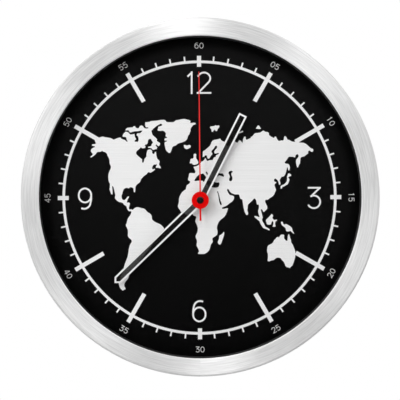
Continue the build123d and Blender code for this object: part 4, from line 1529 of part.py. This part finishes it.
negative_contact.part.label = "negative_contact"
export_step(negative_contact.part, "parts/negative_contact.step")
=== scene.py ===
import math

import bpy
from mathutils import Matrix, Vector


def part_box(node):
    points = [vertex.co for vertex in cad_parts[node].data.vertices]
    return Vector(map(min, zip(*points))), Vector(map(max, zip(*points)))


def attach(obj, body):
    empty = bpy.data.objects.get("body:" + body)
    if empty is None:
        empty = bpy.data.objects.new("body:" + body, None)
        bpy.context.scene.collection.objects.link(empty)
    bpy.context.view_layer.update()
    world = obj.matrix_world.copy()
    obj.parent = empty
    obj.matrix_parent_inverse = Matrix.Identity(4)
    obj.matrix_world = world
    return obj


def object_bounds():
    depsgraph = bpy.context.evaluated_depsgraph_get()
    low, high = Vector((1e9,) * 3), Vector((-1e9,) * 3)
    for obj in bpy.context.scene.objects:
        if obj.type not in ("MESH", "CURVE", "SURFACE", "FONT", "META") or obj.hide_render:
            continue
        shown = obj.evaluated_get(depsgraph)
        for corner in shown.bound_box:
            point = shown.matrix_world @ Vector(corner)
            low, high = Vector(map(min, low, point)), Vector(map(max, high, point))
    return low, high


# Looks of a wall clock with a world map dial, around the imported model. Metres, +Z up, dial towards -Y.

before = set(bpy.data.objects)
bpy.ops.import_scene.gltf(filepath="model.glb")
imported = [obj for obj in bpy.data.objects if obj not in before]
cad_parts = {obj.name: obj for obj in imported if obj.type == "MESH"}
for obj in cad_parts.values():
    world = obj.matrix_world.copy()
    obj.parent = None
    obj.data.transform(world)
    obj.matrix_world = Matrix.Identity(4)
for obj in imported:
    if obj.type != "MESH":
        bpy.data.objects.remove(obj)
cad_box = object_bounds()

# Places read from the frame
BEZEL_LOW, BEZEL_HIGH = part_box("bezel")
CENTRE = (BEZEL_LOW + BEZEL_HIGH) / 2
FACE = Vector((CENTRE.x, BEZEL_LOW.y, CENTRE.z))
PIN_LOW, PIN_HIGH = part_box("second_hand_pin")
PIN = (PIN_LOW + PIN_HIGH) / 2
KNOB_LOW, KNOB_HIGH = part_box("setting_knob")
KNOB = (KNOB_LOW + KNOB_HIGH) / 2
CELL_LOW, CELL_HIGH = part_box("battery_sleeve")
MOVEMENT_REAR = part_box("movement_rear")[1].y

# Camera: straight on, far off, framed as in the photograph
VIEW_DISTANCE = 2.08
VIEW_WIDTH = 0.3339
VIEW_RIGHT = -0.0002
VIEW_UP = -0.0025
SENSOR = 36.0

# World: as white as the photograph's background where it is seen, and softer as a light
SKY_WHITE = 1.0
SKY_SOFT = 0.26

# Softboxes: bearing clockwise from the top, angle off the view axis, distance, length, width, power
SOFTBOXES = {
    "top": (-6.0, 30.0, 3.0, 1.0, 0.45, 10.4),
    "left": (-66.0, 32.0, 3.0, 1.0, 0.5, 8.6),
    "right": (40.0, 30.0, 3.0, 1.0, 0.5, 7.0),
    "rim": (-34.0, 58.0, 1.6, 0.9, 0.7, 1.6),
    "key": (-56.0, 58.0, 1.6, 0.9, 1.2, 22.5),
    "back": (-30.0, 140.0, 1.6, 0.9, 0.9, 8.0),
}

# Floor: how far it lies below the clock, and how far it reaches to the sides, the front and the rear
FLOOR_DROP = 0.045
FLOOR_SIDE = 1.2
FLOOR_REAR = 0.2

# Bezel: grain scales across, round and into the ring, and the bright cut at the edge of its opening
STREAK_SCALE = (1250.0, 6.0, 1250.0)
STREAK_DETAIL = 2.0
HAIR_SCALE = (4200.0, 4.0, 4200.0)
HAIR_MIX = 0.7
HAIR_DEPTH = 0.00001
BRUSH_SPREAD = (0.35, 0.65)
BRUSH_TURN = 0.25
RING_TONES = (0.6, 0.85)
RING_ROUGHNESS = (0.37, 0.44)
CUT_TONE = 0.9
CUT_RADIUS = 0.1357
CUT_BLUR = 0.0001

# Glass: tone and roughness of faint smears, and how its reflection grows with the slant of the view
SMEAR_SCALE = 9.0
GLASS_TONES = (0.985, 1.0)
GLASS_ROUGHNESS = (0.0, 0.04)
GLASS_RISE = 2.0
GLASS_GLOSS = 0.45

# Dial paint: tones of painted shade low down and painted sheen high up, heights over which the painted
# sheen makes it paler, and distances from the axis over which painted shade darkens the corner below the
# bezel
DIAL_SHADED_TONES = (0.0012, 0.002)
DIAL_LIT_TONES = (0.0044, 0.0064)
DIAL_CORNER_SHADE_TONE = 0.0008
DIAL_SHEEN_HEIGHTS = (-0.11, 0.09)
DIAL_CORNER_SHADE_SPAN = (0.1235, 0.1305)
DIAL_GRAIN = 2500.0
DIAL_GRAIN_DEPTH = 0.00001
DIAL_ROUGHNESS = (0.45, 0.6)
DIAL_SPECULAR = 0.02

# Silver print: grain scales across, into and up the dial
PRINT_SCALE = (14.0, 200.0, 1900.0)
PRINT_DEPTH = 0.000008
PRINT_ROUGHNESS = (0.38, 0.55)
PRINT_SPECULAR = 0.1
SILVER_TONES = (0.76, 0.86)
NUMBER_TONES = (0.66, 0.78)

# Hour and minute hands, and the smoked strips in them
HAND_GRAIN = 1500.0
HAND_TONES = (0.7, 0.8)
HAND_ROUGHNESS = (0.3, 0.42)
STRIP_GRAIN = 160.0
STRIP_TONES = ((0.0052, 0.005, 0.0046), (0.008, 0.0076, 0.007))
STRIP_ROUGHNESS = (0.2, 0.3)
STRIP_ALPHA = 0.7
STRIP_SPECULAR = 0.05

# Second hand: deep red on boss and tail, and a painted sheen that makes the pointer paler red from these
# distances along it
DEEP_REDS = ((0.62, 0.0008, 0.0008), (0.7, 0.0016, 0.0016))
PAINTED_SHEEN_REDS = ((0.72, 0.034, 0.032), (0.8, 0.042, 0.04))
RED_SHEEN_SPAN = (0.007, 0.0085)
RED_GRAIN = 1800.0
RED_GRAIN_DEPTH = 0.000006
RED_ROUGHNESS = (0.4, 0.5)
RED_SPECULAR = 0.04

# Battery wrap: a coated barrel, copper-coloured over this share of its length
WRAP_COPPERS = ((0.5, 0.2, 0.07), (0.62, 0.27, 0.1))
WRAP_BLACKS = ((0.012, 0.013, 0.016), (0.022, 0.023, 0.027))
WRAP_SHARE = 0.3
WRAP_GRAIN = 700.0
WRAP_ROUGHNESS = (0.28, 0.4)
WRAP_COAT = 0.6
WRAP_COAT_ROUGHNESS = 0.12


def grey(level):
    return (level, level, level)


# Grained finishes: darker and lighter colour, roughness, grain scale, grain depth, metal
GRAINED = {
    "case_plastic": (grey(0.016), grey(0.026), (0.45, 0.62), 2600.0, 0.00004, 0.0),
    "wall_plastic": (grey(0.03), grey(0.04), (0.4, 0.55), 2600.0, 0.00003, 0.0),
    "works_plastic": (grey(0.05), grey(0.066), (0.38, 0.52), 1800.0, 0.00002, 0.0),
    "sign_paint": (grey(0.42), grey(0.54), (0.5, 0.65), 1800.0, 0.00001, 0.0),
    "gear_plastic": ((0.66, 0.64, 0.57), (0.78, 0.76, 0.7), (0.35, 0.5), 1500.0, 0.00001, 0.0),
    "rubber": (grey(0.012), grey(0.022), (0.7, 0.85), 2200.0, 0.00004, 0.0),
    "fibreboard": ((0.2, 0.13, 0.075), (0.36, 0.25, 0.16), (0.75, 0.9), 900.0, 0.00006, 0.0),
    "laminate": ((0.24, 0.13, 0.045), (0.34, 0.2, 0.08), (0.4, 0.55), 1200.0, 0.00001, 0.0),
    "resin": (grey(0.006), grey(0.012), (0.18, 0.3), 900.0, 0.00003, 0.0),
    "magnet": (grey(0.05), grey(0.09), (0.5, 0.7), 2400.0, 0.00002, 0.0),
    "brass": ((0.62, 0.43, 0.16), (0.74, 0.55, 0.24), (0.22, 0.36), 2000.0, 0.00001, 1.0),
    "steel": (grey(0.5), grey(0.64), (0.24, 0.4), 2200.0, 0.00001, 1.0),
    "copper": ((0.6, 0.22, 0.09), (0.76, 0.33, 0.15), (0.25, 0.4), 3000.0, 0.00006, 1.0),
    "pin_metal": (grey(0.007), grey(0.011), (0.06, 0.1), 900.0, 0.000004, 1.0),
    "floor": (grey(0.66), grey(0.7), (0.6, 0.7), 60.0, 0.0001, 0.0),
}

# Nodes that wear each finish
WORN_BY = {
    "brushed_ring": ["bezel"],
    "clear_glass": ["lens"],
    "dial_paint": ["dial_sheet"],
    "silver_print": ["world_map", "minute_track", "hour_numerals"],
    "grey_numbers": ["minute_numerals"],
    "hand_metal": ["hour_hand", "minute_hand"],
    "smoked_strip": ["hour_hand_inlay", "minute_hand_inlay"],
    "red_paint": ["second_hand"],
    "pin_metal": ["second_hand_pin"],
    "case_plastic": ["rear_cover", "setting_knob"],
    "wall_plastic": ["spacer_ring"],
    "fibreboard": ["dial_board"],
    "works_plastic": ["movement_front", "movement_rear", "mid_plate", "coil_bobbin"],
    "gear_plastic": [
        "second_wheel", "intermediate_wheel", "rotor_pinion", "third_wheel", "minute_wheel",
        "motion_wheel", "hour_wheel", "setting_pinion",
    ],
    "rubber": ["lens_gasket", "rubber_washer"],
    "brass": ["fixing_nut", "dial_washer", "minute_pipe", "clutch_spring", "coil_pins"],
    "steel": [
        "case_screws", "second_shaft", "stator", "coil_core", "quartz_crystal", "positive_contact",
        "negative_contact", "battery_can",
    ],
    "copper": ["coil_winding"],
    "laminate": ["circuit_board"],
    "resin": ["chip"],
    "magnet": ["rotor_magnet"],
    "battery_wrap": ["battery_sleeve"],
}

# Raised signs on the back of the movement: plus, minus and a turn arrow
SIGN_RIDGE = 0.00045
SIGN_HALF = 0.0022
SIGN_INSET = 0.0035
SIGN_RISE = 0.0042
ARROW_RADIUS = 0.0075
ARROW_START = 150.0
ARROW_END = 390.0
ARROW_POINTS = 25
ARROW_HEAD = 0.0022
ARROW_LEAN = 45.0

# Part of a noise's range that carries nearly all of it, and a noise's usual detail and roughness
NOISE_SPREAD = (0.25, 0.75)
NOISE_DETAIL = 3.0
NOISE_MIX = 0.55

# Sockets of a colour mix: its two colours and its result
MIX_COLOURS = (6, 7)
MIX_RESULT = 2


# Node helpers
def material(name, **sockets):
    """A new node material with plain values set on its shader."""
    mat = bpy.data.materials.new(name)
    mat.use_nodes = True
    for socket, value in sockets.items():
        shader_of(mat).inputs[socket.replace("_", " ")].default_value = value
    return mat


def shader_of(mat):
    return mat.node_tree.nodes["Principled BSDF"]


def add(mat, kind, **settings):
    """A new node in a material, with its properties set."""
    node = mat.node_tree.nodes.new(kind)
    for key, value in settings.items():
        setattr(node, key, value)
    return node


def feed(mat, source, target):
    """Links a socket, or sets a plain value."""
    if isinstance(source, bpy.types.NodeSocket):
        mat.node_tree.links.new(source, target)
    else:
        target.default_value = source


def math_node(mat, operation, first, second=0.0):
    node = add(mat, "ShaderNodeMath", operation=operation)
    feed(mat, first, node.inputs[0])
    feed(mat, second, node.inputs[1])
    return node.outputs[0]


def vector_node(mat, operation, vector, numbers):
    node = add(mat, "ShaderNodeVectorMath", operation=operation)
    feed(mat, vector, node.inputs[0])
    node.inputs[1].default_value = numbers
    return node.outputs[0]


def place(mat, origin=CENTRE):
    """Object coordinates, measured from the dial centre or another point."""
    coordinates = add(mat, "ShaderNodeTexCoord")
    return vector_node(mat, "SUBTRACT", coordinates.outputs["Object"], origin)


def split(mat, vector):
    """The X, Y and Z of a vector."""
    node = add(mat, "ShaderNodeSeparateXYZ")
    feed(mat, vector, node.inputs[0])
    return node.outputs


def from_axis(mat, parts):
    """Distance from the dial's axis."""
    across = math_node(mat, "MULTIPLY", parts["X"], parts["X"])
    up = math_node(mat, "MULTIPLY", parts["Z"], parts["Z"])
    return math_node(mat, "SQRT", math_node(mat, "ADD", across, up))


def round_axis(mat, parts, radius):
    """Coordinates that run round the dial: distance from the axis, angle, depth."""
    joined = add(mat, "ShaderNodeCombineXYZ")
    feed(mat, radius, joined.inputs["X"])
    feed(mat, math_node(mat, "ARCTAN2", parts["X"], parts["Z"]), joined.inputs["Y"])
    feed(mat, parts["Y"], joined.inputs["Z"])
    return joined.outputs[0]


def noise(mat, vector, scale=1.0, detail=NOISE_DETAIL, mix=NOISE_MIX):
    node = add(mat, "ShaderNodeTexNoise")
    feed(mat, vector, node.inputs["Vector"])
    node.inputs["Scale"].default_value = scale
    node.inputs["Detail"].default_value = detail
    node.inputs["Roughness"].default_value = mix
    return node.outputs["Fac"]


def between(mat, value, span, ends=(0.0, 1.0)):
    """A value that crosses a span, mapped to two ends."""
    node = add(mat, "ShaderNodeMapRange")
    feed(mat, value, node.inputs["Value"])
    node.inputs["From Min"].default_value = span[0]
    node.inputs["From Max"].default_value = span[1]
    node.inputs["To Min"].default_value = ends[0]
    node.inputs["To Max"].default_value = ends[1]
    return node.outputs["Result"]


def blend(mat, value, *colours):
    """A colour between two, by a value from 0 to 1. Each is a socket or three numbers."""
    node = add(mat, "ShaderNodeMix", data_type="RGBA")
    feed(mat, value, node.inputs["Factor"])
    for socket, shade in zip(MIX_COLOURS, colours):
        feed(mat, shade if isinstance(shade, bpy.types.NodeSocket) else (*shade, 1), node.inputs[socket])
    return node.outputs[MIX_RESULT]


def greys(mat, value, tones):
    return blend(mat, value, *[grey(tone) for tone in tones])


def colour(mat, source):
    feed(mat, source, shader_of(mat).inputs["Base Color"])


def rough(mat, value, ends):
    feed(mat, between(mat, value, NOISE_SPREAD, ends), shader_of(mat).inputs["Roughness"])


def bump(mat, height, depth):
    node = add(mat, "ShaderNodeBump")
    feed(mat, height, node.inputs["Height"])
    node.inputs["Distance"].default_value = depth
    node.inputs["Strength"].default_value = 1.0
    feed(mat, node.outputs["Normal"], shader_of(mat).inputs["Normal"])


# Finishes
def brushed_ring():
    """Aluminium, brushed in circles, with a bright cut on the edge of its opening."""
    mat = material("brushed_ring", Metallic=1.0, Anisotropic=1.0, Anisotropic_Rotation=BRUSH_TURN)
    parts = split(mat, place(mat))
    radius = from_axis(mat, parts)
    ring = round_axis(mat, parts, radius)
    streaks = noise(mat, vector_node(mat, "MULTIPLY", ring, STREAK_SCALE), detail=STREAK_DETAIL)
    hairs = noise(mat, vector_node(mat, "MULTIPLY", ring, HAIR_SCALE), mix=HAIR_MIX)
    brushing = math_node(mat, "MULTIPLY", math_node(mat, "ADD", streaks, hairs), 0.5)
    face = greys(mat, between(mat, brushing, BRUSH_SPREAD), RING_TONES)
    past_cut = between(mat, radius, (CUT_RADIUS - CUT_BLUR, CUT_RADIUS + CUT_BLUR))
    colour(mat, blend(mat, past_cut, grey(CUT_TONE), face))
    rough(mat, brushing, RING_ROUGHNESS)
    bump(mat, hairs, HAIR_DEPTH)
    tangent = add(mat, "ShaderNodeTangent", direction_type="RADIAL", axis="Y")
    feed(mat, tangent.outputs[0], shader_of(mat).inputs["Tangent"])
    return mat


def clear_glass():
    """Clear when looked straight at, with a reflection that grows towards the edge of sight."""
    mat = material("clear_glass")
    mat.node_tree.nodes.remove(shader_of(mat))
    smear = noise(mat, place(mat), SMEAR_SCALE)
    clear = add(mat, "ShaderNodeBsdfTransparent")
    feed(mat, greys(mat, smear, GLASS_TONES), clear.inputs["Color"])
    gloss = add(mat, "ShaderNodeBsdfGlossy")
    feed(mat, between(mat, smear, NOISE_SPREAD, GLASS_ROUGHNESS), gloss.inputs["Roughness"])
    slant = add(mat, "ShaderNodeLayerWeight")
    rise = math_node(mat, "POWER", slant.outputs["Facing"], GLASS_RISE)
    mix = add(mat, "ShaderNodeMixShader")
    feed(mat, math_node(mat, "MULTIPLY", rise, GLASS_GLOSS), mix.inputs[0])
    feed(mat, clear.outputs[0], mix.inputs[1])
    feed(mat, gloss.outputs[0], mix.inputs[2])
    feed(mat, mix.outputs[0], mat.node_tree.nodes["Material Output"].inputs["Surface"])
    return mat


def dial_paint():
    """Satin black, with painted shade deeper towards the bottom and deepest in the corner below the
    bezel, and a painted sheen towards the top.
    """
    mat = material("dial_paint", Specular_IOR_Level=DIAL_SPECULAR)
    spot = place(mat)
    parts = split(mat, spot)
    speckle = noise(mat, spot, DIAL_GRAIN)
    # Painted light and shade: a shaded black low down and a lit black high up
    low = greys(mat, speckle, DIAL_SHADED_TONES)
    high = greys(mat, speckle, DIAL_LIT_TONES)
    black = blend(mat, between(mat, parts["Z"], DIAL_SHEEN_HEIGHTS), low, high)
    # Painted shade in the corner below the bezel
    colour(mat, blend(mat, between(mat, from_axis(mat, parts), DIAL_CORNER_SHADE_SPAN), black, grey(DIAL_CORNER_SHADE_TONE)))
    rough(mat, speckle, DIAL_ROUGHNESS)
    bump(mat, speckle, DIAL_GRAIN_DEPTH)
    return mat


def silver_print(name, tones):
    """Silver with faint brushing from side to side."""
    mat = material(name, Specular_IOR_Level=PRINT_SPECULAR)
    lines = noise(mat, vector_node(mat, "MULTIPLY", place(mat), PRINT_SCALE))
    colour(mat, greys(mat, between(mat, lines, NOISE_SPREAD), tones))
    rough(mat, lines, PRINT_ROUGHNESS)
    bump(mat, lines, PRINT_DEPTH)
    return mat


def hand_metal():
    mat = material("hand_metal", Metallic=1.0)
    grain = noise(mat, vector_node(mat, "MULTIPLY", place(mat), (HAND_GRAIN,) * 3))
    colour(mat, greys(mat, grain, HAND_TONES))
    rough(mat, grain, HAND_ROUGHNESS)
    return mat


def smoked_strip():
    mat = material("smoked_strip", Alpha=STRIP_ALPHA, Specular_IOR_Level=STRIP_SPECULAR)
    cloud = noise(mat, place(mat), STRIP_GRAIN)
    colour(mat, blend(mat, cloud, *STRIP_TONES))
    rough(mat, cloud, STRIP_ROUGHNESS)
    return mat


def red_paint():
    """Red, with a painted sheen that makes the pointer paler than the boss and tail."""
    mat = material("red_paint", Specular_IOR_Level=RED_SPECULAR)
    spot = place(mat, PIN)
    grain = noise(mat, spot, RED_GRAIN)
    # Painted sheen: paler red from these distances along the pointer
    sheen_along = between(mat, split(mat, spot)["Z"], RED_SHEEN_SPAN)
    colour(mat, blend(mat, sheen_along, blend(mat, grain, *DEEP_REDS), blend(mat, grain, *PAINTED_SHEEN_REDS)))
    rough(mat, grain, RED_ROUGHNESS)
    bump(mat, grain, RED_GRAIN_DEPTH)
    return mat


def battery_wrap():
    """A dark barrel with a copper-coloured end."""
    mat = material("battery_wrap", Coat_Weight=WRAP_COAT, Coat_Roughness=WRAP_COAT_ROUGHNESS)
    grain = noise(mat, place(mat), WRAP_GRAIN)
    end = (CELL_HIGH.x - CELL_LOW.x) * WRAP_SHARE
    past_end = math_node(mat, "GREATER_THAN", split(mat, place(mat, CELL_LOW))["X"], end)
    colour(mat, blend(mat, past_end, blend(mat, grain, *WRAP_COPPERS), blend(mat, grain, *WRAP_BLACKS)))
    rough(mat, grain, WRAP_ROUGHNESS)
    return mat


def grained(name, dark, light, roughness, scale, depth, metal):
    """Paint, plastic, rubber or metal: a grained surface between two colours."""
    mat = material(name, Metallic=metal)
    grain = noise(mat, place(mat), scale)
    colour(mat, blend(mat, between(mat, grain, NOISE_SPREAD), dark, light))
    rough(mat, grain, roughness)
    bump(mat, grain, depth)
    return mat


# Every finish under its own name, which Blender lengthens where the frame has a material so named
finishes = {
    "brushed_ring": brushed_ring(),
    "clear_glass": clear_glass(),
    "dial_paint": dial_paint(),
    "silver_print": silver_print("silver_print", SILVER_TONES),
    "grey_numbers": silver_print("grey_numbers", NUMBER_TONES),
    "hand_metal": hand_metal(),
    "smoked_strip": smoked_strip(),
    "red_paint": red_paint(),
    "battery_wrap": battery_wrap(),
}
for name, recipe in GRAINED.items():
    finishes[name] = grained(name, *recipe)
for finish, names in WORN_BY.items():
    for name in names:
        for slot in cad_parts[name].material_slots:
            slot.material = finishes[finish]


# Raised signs
def poles():
    """Strokes of a plus and a minus sign, above the two ends of the battery."""
    level = CELL_HIGH.z + SIGN_RISE
    plus = CELL_LOW.x + SIGN_INSET
    minus = CELL_HIGH.x - SIGN_INSET
    return [
        [(plus - SIGN_HALF, level), (plus + SIGN_HALF, level)],
        [(plus, level - SIGN_HALF), (plus, level + SIGN_HALF)],
        [(minus - SIGN_HALF, level), (minus + SIGN_HALF, level)],
    ]


def turn_arrow():
    """Strokes of an arrow that runs round the setting knob."""
    step = math.radians(ARROW_END - ARROW_START) / (ARROW_POINTS - 1)
    angles = [math.radians(ARROW_START) + step * count for count in range(ARROW_POINTS)]
    arc = [(KNOB.x + ARROW_RADIUS * math.cos(a), KNOB.z + ARROW_RADIUS * math.sin(a)) for a in angles]
    tip = arc[-1]
    strokes = [arc]
    for lean in (-ARROW_LEAN, ARROW_LEAN):
        way = angles[-1] - math.radians(90 - lean)
        strokes.append([tip, (tip[0] + ARROW_HEAD * math.cos(way), tip[1] + ARROW_HEAD * math.sin(way))])
    return strokes


def moulded_signs():
    """Ridges on the back of the movement: the battery's poles, and the way that the knob turns."""
    curve = bpy.data.curves.new("moulded_signs", "CURVE")
    curve.dimensions = "3D"
    curve.bevel_depth = SIGN_RIDGE
    curve.use_fill_caps = True
    for stroke in poles() + turn_arrow():
        spline = curve.splines.new("POLY")
        spline.points.add(len(stroke) - 1)
        for point, (across, up) in zip(spline.points, stroke):
            point.co = (across, MOVEMENT_REAR, up, 1)
    signs = bpy.data.objects.new("moulded_signs", curve)
    bpy.context.scene.collection.objects.link(signs)
    curve.materials.append(finishes["sign_paint"])
    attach(signs, "case")


moulded_signs()


# Studio
def softbox(name, bearing, off_axis, distance, length, width, power):
    """A rectangular lamp that looks at the middle of the clock's front."""
    data = bpy.data.lights.new(name, "AREA")
    data.shape = "RECTANGLE"
    data.size = width
    data.size_y = length
    data.energy = power
    lamp = bpy.data.objects.new(name, data)
    bpy.context.scene.collection.objects.link(lamp)
    turn, tilt = math.radians(bearing), math.radians(off_axis)
    towards = Vector((math.sin(tilt) * math.sin(turn), -math.cos(tilt), math.sin(tilt) * math.cos(turn)))
    lamp.location = FACE + towards * distance
    lamp.rotation_mode = "QUATERNION"
    lamp.rotation_quaternion = towards.to_track_quat("Z", "Y")
    return lamp


lamps = {name: softbox(name, *settings) for name, settings in SOFTBOXES.items()}
lamps["key"].visible_glossy = False


def white_world():
    """White where it is seen, reflected or looked at through glass, and softer as a light."""
    world = bpy.data.worlds.new("studio")
    bpy.context.scene.world = world
    world.use_nodes = True
    tree = world.node_tree
    shade = tree.nodes["Background"]
    shade.inputs["Color"].default_value = (1, 1, 1, 1)
    path = tree.nodes.new("ShaderNodeLightPath")
    seen = tree.nodes.new("ShaderNodeMath")
    seen.operation = "MAXIMUM"
    either = tree.nodes.new("ShaderNodeMath")
    either.operation = "MAXIMUM"
    level = tree.nodes.new("ShaderNodeMapRange")
    level.inputs["To Min"].default_value = SKY_SOFT
    level.inputs["To Max"].default_value = SKY_WHITE
    tree.links.new(path.outputs["Is Camera Ray"], seen.inputs[0])
    tree.links.new(path.outputs["Is Glossy Ray"], seen.inputs[1])
    tree.links.new(seen.outputs[0], either.inputs[0])
    tree.links.new(path.outputs["Is Transmission Ray"], either.inputs[1])
    tree.links.new(either.outputs[0], level.inputs["Value"])
    tree.links.new(level.outputs["Result"], shade.inputs["Strength"])


white_world()


def pale_floor():
    """A pale floor below the clock, out of the photograph's frame."""
    low = cad_box[0].z - FLOOR_DROP
    corners = [
        (-FLOOR_SIDE, -FLOOR_SIDE, low), (FLOOR_SIDE, -FLOOR_SIDE, low),
        (FLOOR_SIDE, FLOOR_REAR, low), (-FLOOR_SIDE, FLOOR_REAR, low),
    ]
    mesh = bpy.data.meshes.new("floor")
    mesh.from_pydata(corners, [], [(0, 1, 2, 3)])
    floor = bpy.data.objects.new("floor", mesh)
    bpy.context.scene.collection.objects.link(floor)
    mesh.materials.append(finishes["floor"])


pale_floor()


def camera():
    data = bpy.data.cameras.new("camera")
    data.sensor_width = SENSOR
    data.lens = SENSOR * VIEW_DISTANCE / VIEW_WIDTH
    eye = bpy.data.objects.new("camera", data)
    bpy.context.scene.collection.objects.link(eye)
    eye.location = FACE + Vector((VIEW_RIGHT, -VIEW_DISTANCE, VIEW_UP))
    eye.rotation_euler = (math.radians(90), 0, 0)
    bpy.context.scene.camera = eye


camera()
bpy.context.scene.view_settings.view_transform = "Standard"
